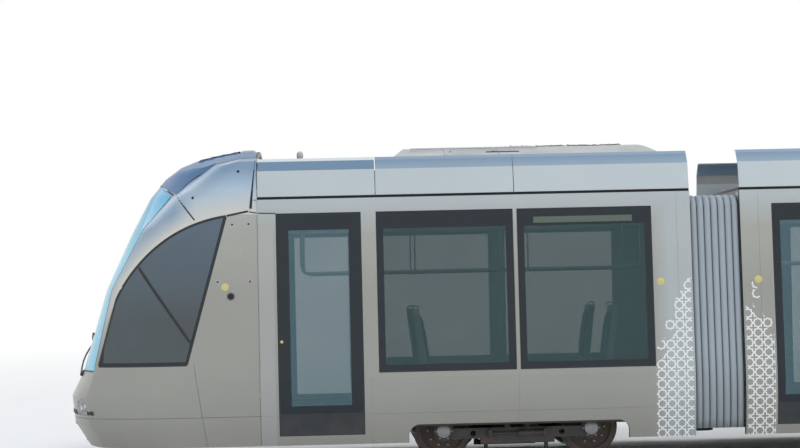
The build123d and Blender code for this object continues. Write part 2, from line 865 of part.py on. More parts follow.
pole_y = passage_half + pole_dia
front_seats = [
    (front_axles[0], 1, 1, well_top, cover_seat_rise),
    (front_axles[1], 1, -1, well_top, cover_seat_rise),
]
centre_seats = [
    (centre_axles[0], 1, 1, well_top, cover_seat_rise),
    (centre_axles[1], 1, -1, well_top, cover_seat_rise),
]
first_row_x = mid_rows[3][1] + seat_reach + back_lean
mid_seats = [
    (first_row_x, 2, 1, floor_z, cushion_height),
    (first_row_x + facing_pitch, 2, -1, floor_z, cushion_height),
    (first_row_x + facing_pitch + seat_pitch, 2, -1, floor_z, cushion_height),
]
front_poles = [(front_rows[4][1] - pole_dia / 2, pole_y, floor_z), (front_bogie_x, pole_y, bogie_floor_z)]
mid_poles = [(mid_rows[1][2], pole_y, floor_z), (mid_rows[7][1], pole_y, floor_z)]
centre_poles = [(0, pole_y, bogie_floor_z)]
save_pair(make_interior(front_seats, front_poles, with_cab=True), "front_interior", "rear_interior")
save_pair(make_interior(mid_seats, mid_poles), "mid_front_interior", "mid_rear_interior")
save(make_interior(centre_seats, centre_poles), "centre_interior")


# Roof equipment: air-conditioning pods over the cabs, boxes on the other roofs

pod_half = 850
pod_shoulder_z = fairing_z
pod_length = 2950
pod_from_cab = 1460
box_half = 760
box_chamfer = 60
box_height = 330
long_box = 2600
short_box = 1500
box_gap = 500
fan_dia = 620
fan_depth = 110
fan_hub_dia = 190
fan_blades = 7
fan_blade_depth = 12
fan_blade_pitch = 24
fan_shares = (0.22, 0.44)
hatch_shares = (0.60, 0.80)
hatch_groove = 8
pod_slope = 170
louvres = 5
louvre_pitch = 34
louvre_width = 16
louvre_depth = 25
louvre_length = 420
rib_pitch = 130
rib_width = 30
rib_height = 12


def fan_rotor():
    """Hub with pitched blades, standing on the XY plane at the origin."""
    tilt = radians(fan_blade_pitch)
    reach = fan_dia / 2 - 2 * seam
    blade_plane = Plane(origin=(0, 0, fan_depth / 4), x_dir=(1, 0, 0), z_dir=(0, -sin(tilt), cos(tilt)))
    with BuildPart() as rotor:
        post(0, 0, fan_hub_dia / 2, 0, fan_depth / 2)
        with BuildSketch(blade_plane) as plate:
            with Locations((reach / 2, 0)):
                Rectangle(reach, fan_hub_dia / 2)
        blade = extrude(plate.sketch, amount=fan_blade_depth / 2, both=True, mode=Mode.PRIVATE)
        with PolarLocations(0, fan_blades):
            add(blade)
    return rotor.part


def cut_louvres(banks, half, low):
    """Banks of level slots in both sides of a box."""
    for side in (-1, 1):
        plane = Plane(origin=(0, side * (half - louvre_depth), 0), x_dir=(1, 0, 0), z_dir=(0, -1, 0))
        with BuildSketch(plane) as slots:
            with Locations(*[(x, low + louvres * louvre_pitch / 2) for x in banks]):
                with GridLocations(0, louvre_pitch, 1, louvres):
                    Rectangle(louvre_length, louvre_width)
        extrude(slots.sketch, amount=-side * 2 * louvre_depth, mode=Mode.SUBTRACT)


def crown_band(x, rise, depth):
    """Section of a pod's crown between a rise over it and a depth under it."""
    with BuildSketch(Plane.YZ.offset(x)) as band:
        with BuildLine():
            for lift in (rise, -depth):
                ThreePointArc((pod_half, pod_shoulder_z + lift), (0, crown_z + lift), (-pod_half, pod_shoulder_z + lift))
            for y in (-pod_half, pod_half):
                Line((y, pod_shoulder_z + rise), (y, pod_shoulder_z - depth))
        make_face()
    return band.sketch


def pod(first_x, last_x, rotor):
    """Long pod on the deck: crowned top with sloped ends, hatch joints, fans in their wells and side louvres."""
    length = last_x - first_x
    with BuildSketch(Plane.YZ.offset(first_x)) as section:
        with BuildLine():
            Polyline((-pod_half, pod_shoulder_z), (-pod_half, deck_z), (pod_half, deck_z),
                     (pod_half, pod_shoulder_z))
            ThreePointArc((pod_half, pod_shoulder_z), (0, crown_z), (-pod_half, pod_shoulder_z))
        make_face()
    extrude(section.sketch, amount=length)
    for end_x, way in ((first_x, 1), (last_x, -1)):
        slope = outline(Plane.XZ, [
            (end_x - way * seam, pod_shoulder_z), (end_x, pod_shoulder_z), (end_x + way * pod_slope, crown_z + seam),
            (end_x - way * seam, crown_z + seam)])
        extrude(slope, amount=pod_half, both=True, mode=Mode.SUBTRACT)
    for share in hatch_shares:
        extrude(crown_band(first_x + share * length, seam, hatch_groove), amount=seam, mode=Mode.SUBTRACT)
    fan_stations = [first_x + share * length for share in fan_shares]
    cut_louvres(fan_stations, pod_half, deck_z + louvre_pitch)
    posts([(x, 0) for x in fan_stations], fan_dia / 2, crown_z - fan_depth, crown_z + wall, mode=Mode.SUBTRACT)
    with Locations(*[(x, 0, crown_z - fan_depth) for x in fan_stations]):
        add(rotor)


def roof_box(first_x, last_x):
    """Low equipment box with chamfered top edges, ribs across its lid and louvres in its sides, on the deck."""
    top = deck_z + box_height
    shoulder = box_half - box_chamfer
    section = outline(Plane.YZ.offset(first_x), [
        (-box_half, deck_z), (box_half, deck_z), (box_half, top - box_chamfer), (shoulder, top),
        (-shoulder, top), (-box_half, top - box_chamfer)])
    extrude(section, amount=last_x - first_x)
    length = last_x - first_x
    with BuildSketch(Plane.XY.offset(top)) as ribs:
        with Locations((first_x + length / 2, 0)):
            with GridLocations(rib_pitch, 0, int(length / rib_pitch) - 1, 1):
                Rectangle(rib_width, 2 * shoulder)
    extrude(ribs.sketch, amount=rib_height)
    cut_louvres([first_x + length / 4, last_x - length / 4], box_half, deck_z + louvre_pitch)


rotor = fan_rotor()
with BuildPart() as front_gear:
    pod(cab_line - pod_from_cab - pod_length, cab_line - pod_from_cab, rotor)
save_pair(front_gear.part, "front_roof_gear", "rear_roof_gear")

with BuildPart() as mid_gear:
    gear_start = mid_rows[0][1] + box_gap
    roof_box(gear_start, gear_start + long_box)
    roof_box(gear_start + long_box + box_gap, gear_start + long_box + box_gap + short_box)
save_pair(mid_gear.part, "mid_front_roof_gear", "mid_rear_roof_gear")


# Pantograph: base on insulators, lower arm, coupled upper arm, level head and thrust rod

pan_pivot_z = rail + pan_pivot_height
rest_rise = arm_length * sin(radians(arm_rest_angle))
rest_run = arm_length * cos(radians(arm_rest_angle))
knee_x = pan_pivot_x - rest_run
knee_z = pan_pivot_z + rest_rise
head_x = pan_pivot_x
head_z_pin = knee_z + rest_rise
base_rail_y = 380
base_rail = 60
base_reach = 900
base_z = pan_pivot_z - 90
insulator_dia = 90
insulator_x = 780
fork_y = 110
lug_width = 20
lug_gap = 5
pan_pin = 30
pin_clear = 1
eye = 45
upper_y = 190
upper_tube = 40
sheds = 4
shed_depth = 10
shed_reach = 22
spring_y = 290
spring_body = 56
spring_rod = 24
strip_gap = 210
strip_width = 40
strip_height = 50
head_rise = 70
horn_drop = 160
horn_reach = 170
rod_y = 150
rod_pin = 20
rod_foot_x = pan_pivot_x + 120
rod_foot_z = pan_pivot_z - 40
rod_end_x = knee_x + 180


def tube(start, end, middle_y, dia):
    """Round tube between two points of a plane along the track, at one distance from the middle."""
    first = Vector(start[0], middle_y, start[1])
    run = Vector(end[0] - start[0], 0, end[1] - start[1])
    with BuildSketch(Plane(origin=first, z_dir=run)) as ring:
        Circle(dia / 2)
    extrude(ring.sketch, amount=run.length)


def ribbed_insulators(places):
    """Posts between the deck and the base rails, with round sheds round them."""
    posts(places, insulator_dia / 2, deck_z, base_z)
    pitch = (base_z - deck_z) / (sheds + 1)
    for shed in range(sheds):
        shed_z = deck_z + (shed + 1) * pitch
        posts(places, insulator_dia / 2 + shed_reach, shed_z - shed_depth / 2, shed_z + shed_depth / 2)


with BuildPart() as centre_gear:
    ribbed_insulators([(way * insulator_x, side * base_rail_y) for way in (-1, 1) for side in (-1, 1)])
    for side in (-1, 1):
        block(-base_reach, base_reach, side * base_rail_y - base_rail / 2, side * base_rail_y + base_rail / 2,
              base_z, base_z + base_rail)
    for beam_x in (pan_pivot_x, rod_foot_x, -insulator_x):
        block(beam_x - base_rail / 2, beam_x + base_rail / 2, -base_rail_y, base_rail_y, base_z - base_rail / 2,
              base_z)
    for side in (-1, 1):
        spring_low_x = base_rail / 2 - insulator_x
        spring_high_x = pan_pivot_x - base_rail / 2
        along_track(-insulator_x, side * spring_y, base_z - base_rail / 2, spring_rod / 2, insulator_x + pan_pivot_x)
        along_track(spring_low_x + base_rail, side * spring_y, base_z - base_rail / 2, spring_body / 2,
                    spring_high_x - spring_low_x - 2 * base_rail)
        lug_y = side * (fork_y + lug_gap + lug_width / 2)
        block(pan_pivot_x - eye, pan_pivot_x + eye, lug_y - lug_width / 2, lug_y + lug_width / 2,
              base_z, pan_pivot_z)
        barrel(pan_pivot_x, pan_pivot_z, eye, lug_y - lug_width / 2, lug_y + lug_width / 2)
        barrel(pan_pivot_x, pan_pivot_z, pan_pin / 2 + pin_clear, lug_y - lug_width, lug_y + lug_width,
               mode=Mode.SUBTRACT)
    rod_lug_y = rod_y + rod_tube + lug_gap
    block(rod_foot_x - eye / 2, rod_foot_x + eye / 2, rod_lug_y, rod_lug_y + lug_width, base_z - base_rail / 2,
          rod_foot_z + rod_pin)
    barrel(rod_foot_x, rod_foot_z, rod_pin / 2, rod_y, rod_lug_y)
save(centre_gear.part, "centre_roof_gear")

with BuildPart() as lower_arm:
    tube((pan_pivot_x, pan_pivot_z), (knee_x, knee_z), 0, pan_tube)
    barrel(pan_pivot_x, pan_pivot_z, eye, -fork_y, fork_y)
    barrel(pan_pivot_x, pan_pivot_z, pan_pin / 2, -fork_y - lug_gap - lug_width, fork_y + lug_gap + lug_width)
    barrel(knee_x, knee_z, eye, -fork_y, fork_y)
    barrel(knee_x, knee_z, pan_pin / 2, -upper_y - upper_tube, upper_y + upper_tube)
save(lower_arm.part, "pantograph_lower_arm")

with BuildPart() as upper_arm:
    for side in (-1, 1):
        tube((knee_x, knee_z), (head_x, head_z_pin), side * upper_y, upper_tube)
        barrel(knee_x, knee_z, eye, side * upper_y - upper_tube / 2, side * upper_y + upper_tube / 2)
        barrel(head_x, head_z_pin, 0.8 * eye, side * upper_y - upper_tube / 2, side * upper_y + upper_tube / 2)
    for share in (0.3, 0.7):
        brace_x = knee_x + share * (head_x - knee_x)
        brace_z = knee_z + share * (head_z_pin - knee_z)
        barrel(brace_x, brace_z, upper_tube / 3, -upper_y, upper_y)
    barrel(knee_x, knee_z, pan_pin / 2 + pin_clear, -2 * upper_y, 2 * upper_y, mode=Mode.SUBTRACT)
    barrel(head_x, head_z_pin, pan_pin / 2 + pin_clear, -2 * upper_y, 2 * upper_y, mode=Mode.SUBTRACT)
save(upper_arm.part, "pantograph_upper_arm")

with BuildPart() as head:
    barrel(head_x, head_z_pin, pan_pin / 2, -upper_y - upper_tube, upper_y + upper_tube)
    for side in (-1, 1):
        hanger_y = side * (upper_y + upper_tube)
        low_y, high_y = sorted((hanger_y, hanger_y + side * lug_width))
        hanger = outline(Plane.XZ.offset(-high_y), [
            (head_x - eye, head_z_pin - eye / 2), (head_x + eye, head_z_pin - eye / 2),
            (head_x + strip_gap, head_z_pin + head_rise), (head_x - strip_gap, head_z_pin + head_rise)])
        extrude(hanger, amount=high_y - low_y)
    for way in (-1, 1):
        strip_x = head_x + way * (strip_gap - strip_width / 2)
        strip_z = head_z_pin + head_rise
        half = [(head_half, strip_z + strip_height), (head_half + horn_reach, strip_z + strip_height - horn_drop),
                (head_half + horn_reach - strip_width, strip_z + strip_height - horn_drop),
                (head_half - strip_width / 2, strip_z)]
        far = [(-y, z) for y, z in reversed(half)]
        extrude(outline(Plane.YZ.offset(strip_x - strip_width / 2), half + far), amount=strip_width)
save(head.part, "pantograph_head")

with BuildPart() as thrust_rod:
    rod_end_z = knee_z - 50
    for end_x, end_z in ((rod_foot_x, rod_foot_z), (rod_end_x, rod_end_z)):
        barrel(end_x, end_z, rod_tube, rod_y, rod_y + rod_tube)
    tube((rod_foot_x, rod_foot_z), (rod_end_x, rod_end_z), rod_y + rod_tube / 2, rod_tube)
    barrel(rod_foot_x, rod_foot_z, rod_pin / 2 + pin_clear, rod_y, rod_y + rod_tube, mode=Mode.SUBTRACT)
save(thrust_rod.part, "pantograph_thrust_rod")


# Nose: an envelope lofted through level outlines and topped by a domed roof

# Level outlines: height above the rail, inset of the side from the body's line at the cab line, reach of the
# side and its inset there, reach and inset of the screen edge, and reach of the centre line
nose_levels = [
    (150, 0, 900, 33, 1690, 373, 1930),
    (450, 0, 980, 34, 1850, 366, 2120),
    (750, 0, 1000, 36, 1880, 361, 2150),
    (1000, 0, 1000, 39, 1790, 321, 2020),
    (1918, 0, 900, 41, 1580, 326, 1738),
    (2560, 0, 700, 42, 1225, 340, 1440),
    (2920, 9, 480, 37, 890, 357, 1250),
    (3270, 83, 150, 45, 430, 290, 960),
    (3500, 153, 60, 50, 180, 290, 700),
]

# Roof stations: reach from the cab line, and how far the crown and the shoulder lie below the body's crown
nose_roof = [
    (-200, 0, 136),
    (200, 6, 146),
    (457, 46, 216),
    (708, 91, 351),
    (883, 158, 476),
    (1116, 328, 686),
    (1500, 626, 1026),
    (2200, 1026, 1426),
]
shoulder_half = waist_half - 325
nose_edge_share = 0.7
tail = 200


def nose_plan(height, side_inset, cheek_x, cheek_inset, edge_x, edge_inset, centre_x, inset):
    """Level outline of the nose: straight side, turned corner and bowed front."""
    side_y = skin_y(rail + height) - side_inset
    cheek_y = side_y - cheek_inset
    edge_y = side_y - edge_inset
    corner_inset = inset * nose_edge_share
    root = (cab_line - tail, side_y - inset)
    cheek = (cab_line + cheek_x, cheek_y - inset)
    edge = (cab_line + edge_x - corner_inset, edge_y - corner_inset)
    tip = (cab_line + centre_x - inset, 0)
    side_tangent = (cheek[0] - root[0], cheek[1] - root[1])
    with BuildSketch(Plane.XY.offset(rail + height)) as plan:
        with BuildLine():
            Line((root[0], -root[1]), root)
            Line(root, cheek)
            TangentArc(cheek, edge, tangent=side_tangent)
            ThreePointArc(edge, tip, (edge[0], -edge[1]))
            TangentArc((cheek[0], -cheek[1]), (edge[0], -edge[1]), tangent=(side_tangent[0], -side_tangent[1]))
            Line((cheek[0], -cheek[1]), (root[0], -root[1]))
        make_face()
    return plan.sketch


def roof_arc(reach, crown_drop, shoulder_drop, inset):
    """Cross-section of everything below the domed roof at a station of the nose."""
    drop = shoulder_drop - crown_drop
    radius = (shoulder_half ** 2 + drop ** 2) / (2 * drop)
    slope = shoulder_half / (radius - drop)
    half = waist_half + wall
    top = crown_z - crown_drop - inset
    shoulder = (shoulder_half, top - drop)
    edge = (half, top - drop - slope * (half - shoulder_half))
    foot = (half, -half)
    with BuildSketch(Plane.YZ.offset(cab_line + reach)) as section:
        with BuildLine():
            ThreePointArc((-shoulder[0], shoulder[1]), (0, top), shoulder)
            Polyline(shoulder, edge, foot, (-foot[0], foot[1]), (-edge[0], edge[1]), (-shoulder[0], shoulder[1]))
        make_face()
    return section.sketch


def nose_envelope(inset):
    """Solid nose inside an inset from its skin, reaching back past the cab line."""
    with BuildPart() as lid:
        loft([roof_arc(*row, inset) for row in nose_roof], ruled=True)
    with BuildPart() as envelope:
        loft([nose_plan(*row, inset) for row in nose_levels], ruled=True)
        add(lid.part, mode=Mode.INTERSECT)
    return envelope.part


# Front view of the screen: height above the rail and inset of its edge from the waist's half width, upwards
screen_edge = [(1030, 365), (1918, 400), (2560, 445), (2900, 485)]
screen_peak_height = 3060
cap_half = waist_half - 340
cap_corner_height = 2925
cap_low_half = waist_half - 455

# Side view of the cab window, as reach from the cab line and height above the rail
arch_rear = (335, 2660)
arch_mid = (1000, 2410)
arch_front = (1540, 1794)
side_glass_front_foot = (1740, 1080)
side_glass_rear_foot = (775, 1080)

# Lamps in the lower corners of the nose, in front view
lamp_y = waist_half - 565
lamp_height = 640
lamp_half_width = 150
lamp_half_height = 70
lamp_slant = 12
lamp_depth = 12
reach_ahead = nose_length + 300


def screen_prism(margin):
    """Screen outline seen from the front, grown by a margin, swept along the whole nose."""
    side = [(waist_half - inset + margin, rail + height) for height, inset in screen_edge]
    foot = rail + screen_edge[0][0] - margin
    peak = rail + screen_peak_height + margin
    with BuildPart() as prism:
        with BuildSketch(Plane.YZ.offset(cab_line)) as front:
            with BuildLine():
                right = [(side[0][0], foot)] + side[1:]
                left = [(-y, z) for y, z in right]
                Polyline(*right)
                Polyline(*left)
                Line(left[0], right[0])
                ThreePointArc(right[-1], (0, peak), left[-1])
            make_face()
        extrude(amount=reach_ahead)
    return prism.part


def cap_prism(margin):
    """Outline of the domed roof seen from the front, grown by a margin, swept back past the cab line."""
    half = cap_half + margin
    corner = rail + cap_corner_height - margin
    low_half = cap_low_half + margin
    peak = rail + screen_peak_height + 2 * seam - margin
    top = crown_z + wall
    with BuildPart() as prism:
        with BuildSketch(Plane.YZ.offset(cab_line - tail)) as front:
            with BuildLine():
                Polyline((low_half, corner), (half, corner), (half, top), (-half, top), (-half, corner),
                         (-low_half, corner))
                ThreePointArc((-low_half, corner), (0, peak), (low_half, corner))
            make_face()
        extrude(amount=reach_ahead + tail)
    return prism.part


def side_glass_prism(margin):
    """Arched cab window seen from the side, grown by a margin, swept across both sides."""
    def at(point, forward, up):
        return (cab_line + point[0] + forward * margin, rail + point[1] + up * margin)
    rear_top = at(arch_rear, -1, 1)
    front_top = at(arch_front, 1, 0.5)
    with BuildPart() as prism:
        with BuildSketch(Plane.XZ) as side:
            with BuildLine():
                ThreePointArc(rear_top, at(arch_mid, 0.7, 0.7), front_top)
                Polyline(front_top, at(side_glass_front_foot, 1, -1), at(side_glass_rear_foot, -1, -1), rear_top)
            make_face()
        extrude(amount=waist_half + wall, both=True)
    return prism.part


def lamp_prism(margin):
    """Slanted lamp outlines seen from the front, swept along the nose."""
    with BuildPart() as prism:
        with BuildSketch(Plane.YZ.offset(cab_line + nose_length / 2)):
            for way in (-1, 1):
                with Locations(Location((way * lamp_y, rail + lamp_height), way * lamp_slant)):
                    SlotOverall(2 * (lamp_half_width + margin), 2 * (lamp_half_height + margin))
        extrude(amount=nose_length)
    return prism.part


# Joints of the nose in side view, as reach and height of both ends of each: cheek, side, skirt and cant line
lamp_lip = 8
nose_joints = [
    ((883, 2910), (670, 2615)),
    ((700, 1080), (560, 100)),
    ((-10, skirt_joint_height), (reach_ahead, skirt_joint_height)),
    ((-10, cant_height), (65, cant_height)),
]
cheek_gap = [(20, 3270), (88, 2720), (56, 2720), (16, 3270)]
flap_half = 430
flap_low_height = 240
flap_high_height = 490


def nose_joints_prism():
    """Joints and cheek gap of the nose swept across it, and the outline of the coupler flap swept forwards."""
    with BuildPart() as prism:
        for start, end in nose_joints:
            first = Vector(cab_line + start[0], 0, rail + start[1])
            run = Vector(end[0] - start[0], 0, end[1] - start[1])
            middle = first + run * 0.5
            with BuildSketch(Plane(origin=middle, x_dir=run, z_dir=(0, -1, 0))) as joint:
                Rectangle(run.length, seam)
            extrude(joint.sketch, amount=waist_half + wall, both=True)
        with BuildSketch(Plane.YZ.offset(cab_line + nose_length / 2)) as flap:
            with Locations((0, rail + (flap_low_height + flap_high_height) / 2)):
                Rectangle(2 * flap_half + seam, flap_high_height - flap_low_height + seam)
                Rectangle(2 * flap_half - seam, flap_high_height - flap_low_height - seam, mode=Mode.SUBTRACT)
        extrude(flap.sketch, amount=nose_length)
        wedge = outline(Plane.XZ, [(cab_line + reach, rail + height) for reach, height in cheek_gap])
        extrude(wedge, amount=waist_half + wall, both=True)
    return prism.part


def covering(skin, under, prism):
    """Layer of the nose between its skin and an inner envelope, inside a prism."""
    with BuildPart() as cover:
        add(skin)
        add(under, mode=Mode.SUBTRACT)
        add(prism, mode=Mode.INTERSECT)
    return cover.part


def bed(prism, under):
    """What is cut out of the shell so that a covering lies in it."""
    with BuildPart() as cut:
        add(prism)
        add(under, mode=Mode.SUBTRACT)
    return cut.part


with BuildPart() as ahead_of_cab_line:
    with BuildSketch(Plane.YZ.offset(cab_line)):
        Rectangle(4 * waist_half, 4 * crown_z)
    extrude(amount=reach_ahead)

with BuildPart() as nose_skin:
    add(nose_envelope(0))
    add(ahead_of_cab_line.part, mode=Mode.INTERSECT)
    with BuildSketch(Plane.XY):
        with Locations((cab_line + reach_ahead / 2, 0)):
            Rectangle(reach_ahead, 4 * waist_half)
    extrude(amount=skirt_z, mode=Mode.SUBTRACT)

nose_hollow = nose_envelope(nose_shell)
glass_bed = nose_envelope(screen_glass + seat_gap)
glass_under = nose_envelope(screen_glass)
cap_bed = nose_envelope(cap_shell + seat_gap)
cap_under = nose_envelope(cap_shell)
lamp_bed = nose_envelope(lamp_depth + seat_gap)
lamp_under = nose_envelope(lamp_depth)

with BuildPart() as cab_floor:
    add(nose_hollow)
    with BuildSketch(Plane.XY.offset(floor_z - slab)):
        with Locations((cab_line + reach_ahead / 2, 0)):
            Rectangle(reach_ahead, 4 * waist_half)
    extrude(amount=slab, mode=Mode.INTERSECT)

with BuildPart() as nose:
    add(nose_skin.part)
    add(nose_hollow, mode=Mode.SUBTRACT)
    add(cab_floor.part)
    add(bed(screen_prism(seam), glass_bed), mode=Mode.SUBTRACT)
    add(bed(side_glass_prism(seam), glass_bed), mode=Mode.SUBTRACT)
    add(bed(cap_prism(seam), cap_bed), mode=Mode.SUBTRACT)
    add(bed(lamp_prism(seam), lamp_bed), mode=Mode.SUBTRACT)
    add(screen_prism(-screen_border), mode=Mode.SUBTRACT)
    add(side_glass_prism(-screen_border), mode=Mode.SUBTRACT)
    add(lamp_prism(-lamp_lip), mode=Mode.SUBTRACT)
    add(bed(nose_joints_prism(), glass_bed), mode=Mode.SUBTRACT)
save_pair(nose.part, "front_nose", "rear_nose")

with BuildPart() as cab_glass:
    add(covering(nose_skin.part, glass_under, screen_prism(0)))
    add(covering(nose_skin.part, glass_under, side_glass_prism(0)))
save_pair(cab_glass.part, "front_cab_glass", "rear_cab_glass")

save_pair(covering(nose_skin.part, cap_under, cap_prism(0)), "front_nose_cap", "rear_nose_cap")
save_pair(covering(nose_skin.part, lamp_under, lamp_prism(0)), "front_lamps", "rear_lamps")
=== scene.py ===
"""Finishes, fittings and studio for an articulated low-floor tram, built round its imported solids."""
from math import cos, exp, pi, radians, sin, sqrt, tau

import bmesh
import bpy
from bpy.props import FloatProperty, FloatVectorProperty, IntProperty, PointerProperty
from mathutils import Matrix, Vector
from mathutils.bvhtree import BVHTree


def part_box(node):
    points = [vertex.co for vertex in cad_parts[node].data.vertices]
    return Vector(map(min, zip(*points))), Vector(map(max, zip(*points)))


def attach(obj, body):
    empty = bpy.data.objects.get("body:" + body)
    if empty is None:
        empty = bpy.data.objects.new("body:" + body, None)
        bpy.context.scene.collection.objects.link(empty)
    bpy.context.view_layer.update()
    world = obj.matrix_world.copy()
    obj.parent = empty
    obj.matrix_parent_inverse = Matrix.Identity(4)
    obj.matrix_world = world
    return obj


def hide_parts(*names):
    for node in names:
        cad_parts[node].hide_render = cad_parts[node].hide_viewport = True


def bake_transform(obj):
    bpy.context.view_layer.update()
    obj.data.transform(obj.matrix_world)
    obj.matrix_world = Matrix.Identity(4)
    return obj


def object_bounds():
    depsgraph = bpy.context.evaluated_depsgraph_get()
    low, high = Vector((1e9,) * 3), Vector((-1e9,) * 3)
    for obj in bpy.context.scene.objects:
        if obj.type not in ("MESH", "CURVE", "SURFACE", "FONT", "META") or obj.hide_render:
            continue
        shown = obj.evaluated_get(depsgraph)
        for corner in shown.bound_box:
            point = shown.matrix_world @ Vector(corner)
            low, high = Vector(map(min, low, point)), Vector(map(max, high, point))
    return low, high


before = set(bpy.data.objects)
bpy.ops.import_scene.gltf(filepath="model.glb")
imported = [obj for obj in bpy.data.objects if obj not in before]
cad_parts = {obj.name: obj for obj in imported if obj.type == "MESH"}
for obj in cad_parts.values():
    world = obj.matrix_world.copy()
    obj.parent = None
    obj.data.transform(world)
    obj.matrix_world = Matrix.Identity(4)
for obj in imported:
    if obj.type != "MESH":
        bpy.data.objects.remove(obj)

bl_info = {
    "name": "Articulated tram dresser",
    "version": (1, 0, 0),
    "blender": (4, 5, 0),
    "location": "3D View > Sidebar > Tram",
    "description": "Finishes the tram's solids and adds bellows, seats, roof gear, nose fittings and a studio",
    "category": "Object",
}

cad_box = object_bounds()

# Stations and heights of the solids, in metres
RAIL = 0.025
NOSE_TIP = cad_box[1].x
CAB_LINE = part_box("front_walls")[1].x
FRONT_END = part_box("front_walls")[0].x
MID_START, MID_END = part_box("mid_front_walls")[0].x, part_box("mid_front_walls")[1].x
CENTRE_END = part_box("centre_walls")[1].x
OUTER_PIVOT = (FRONT_END + MID_END) / 2
INNER_PIVOT = (MID_START + CENTRE_END) / 2
BOGIE_X = (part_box("front_bogie")[0].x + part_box("front_bogie")[1].x) / 2
AXLE_Z, AXLE_REACH = 0.320, 0.8
GANGWAY_HALF = 0.27
WAIST, WAIST_HALF, SKIRT_RADIUS = 0.925, 1.325, 2.925
CANT, CANT_HALF = 2.850, 1.250
DECK, CREASE, FAIRING_TOP = 2.880, 3.161, 3.295
WINDOW_FOOT, WINDOW_HEAD = 0.985, 2.695
CLEAR_HEAD = 2.515
CEILING = 2.560
BUTTON_Z, STRIP_Z = 1.330, 2.574
BORDER = 0.075
REAR_FACE = 0.0015
SIDES = (1, -1)
CABS = ("front", "rear")
MIDS = ("mid_front", "mid_rear")
SECTIONS = CABS + MIDS + ("centre",)
ENDS = {"front": CABS, "mid_front": MIDS, "centre": ("centre",)}

# Poles, fans and the top of the pantograph
POLE_Y = 0.655
POLE_STATIONS = (0.0, MID_START + 1.760, MID_START + 4.885, BOGIE_X, FRONT_END + 3.3625)
FAN_STATIONS = (10.339, 10.988)
WHEEL_FACE, BOX_FACE = 0.8025, 1.0
PAN_TOP = cad_box[1].z

# Starts of the rays that find a surface: beside, ahead of and over the tram
RAY_SIDE, RAY_AHEAD, RAY_TOP = 3.0, 1.0, 5.0

# Heights of the seat shells, and distances of the seats from the middle
HIGH_SEAT, LOW_SEAT = 0.945, 0.805
BY_WALL, BY_AISLE = 0.96, 0.52

# Seats of each section: station, height of the shell, way they face, and distances from the middle
SEATS = {
    "front": [(BOGIE_X - AXLE_REACH, HIGH_SEAT, 1, (BY_WALL,)), (BOGIE_X + AXLE_REACH, HIGH_SEAT, -1, (BY_WALL,)),
              (CAB_LINE + 0.33, LOW_SEAT, 1, (0.0,))],
    "mid_front": [(MID_START + 2.225, LOW_SEAT, 1, (BY_WALL, BY_AISLE)),
                  (MID_START + 3.625, LOW_SEAT, -1, (BY_WALL, BY_AISLE)),
                  (MID_START + 4.375, LOW_SEAT, -1, (BY_WALL, BY_AISLE))],
    "centre": [(-AXLE_REACH, HIGH_SEAT, 1, (BY_WALL,)), (AXLE_REACH, HIGH_SEAT, -1, (BY_WALL,))],
}

# Clear bays of each half: section, kind, start and end along the body
BAYS = [
    ("front", "window", FRONT_END + 0.425, FRONT_END + 1.870),
    ("front", "window", FRONT_END + 1.915, FRONT_END + 3.380),
    ("front", "door", FRONT_END + 3.540, FRONT_END + 4.450),
    ("mid_front", "door", MID_START + 0.340, MID_START + 1.760),
    ("mid_front", "window", MID_START + 1.920, MID_START + 3.300),
    ("mid_front", "window", MID_START + 3.345, MID_START + 4.725),
    ("mid_front", "door", MID_START + 4.885, MID_START + 6.305),
]


def side_y(z):
    """Half width of the body at height z."""
    if z < WAIST:
        return WAIST_HALF - SKIRT_RADIUS + sqrt(SKIRT_RADIUS ** 2 - (WAIST - z) ** 2)
    return WAIST_HALF + (CANT_HALF - WAIST_HALF) * (z - WAIST) / (CANT - WAIST)


def circle_through(a, b, c):
    """Centre and radius of the circle through three points of a plane."""
    a, b, c = Vector(a), Vector(b), Vector(c)
    d = 2 * (a.x * (b.y - c.y) + b.x * (c.y - a.y) + c.x * (a.y - b.y))
    sums = [point.length_squared for point in (a, b, c)]
    centre = Vector(((sums[0] * (b.y - c.y) + sums[1] * (c.y - a.y) + sums[2] * (a.y - b.y)) / d,
                     (sums[0] * (c.x - b.x) + sums[1] * (a.x - c.x) + sums[2] * (b.x - a.x)) / d))
    return centre, (a - centre).length


# Arch of the cab window in side view: reach from the cab line and height over the rail
WINDOW_ARCH = ((0.335, 2.660), (1.000, 2.410), (1.540, 1.794))
ARCH_CIRCLE = circle_through(*WINDOW_ARCH)

# Edge of the dome seen from above: its distance from the middle by powers of the reach, highest power first
DOME_EDGE = (1.911, -2.188, 0.400, -0.052, 0.980)


def dome_half(reach):
    """Half width of the dome at a reach from the cab line, as a number or a term."""
    half = 0.0
    for factor in DOME_EDGE:
        half = half * reach + factor
    return half


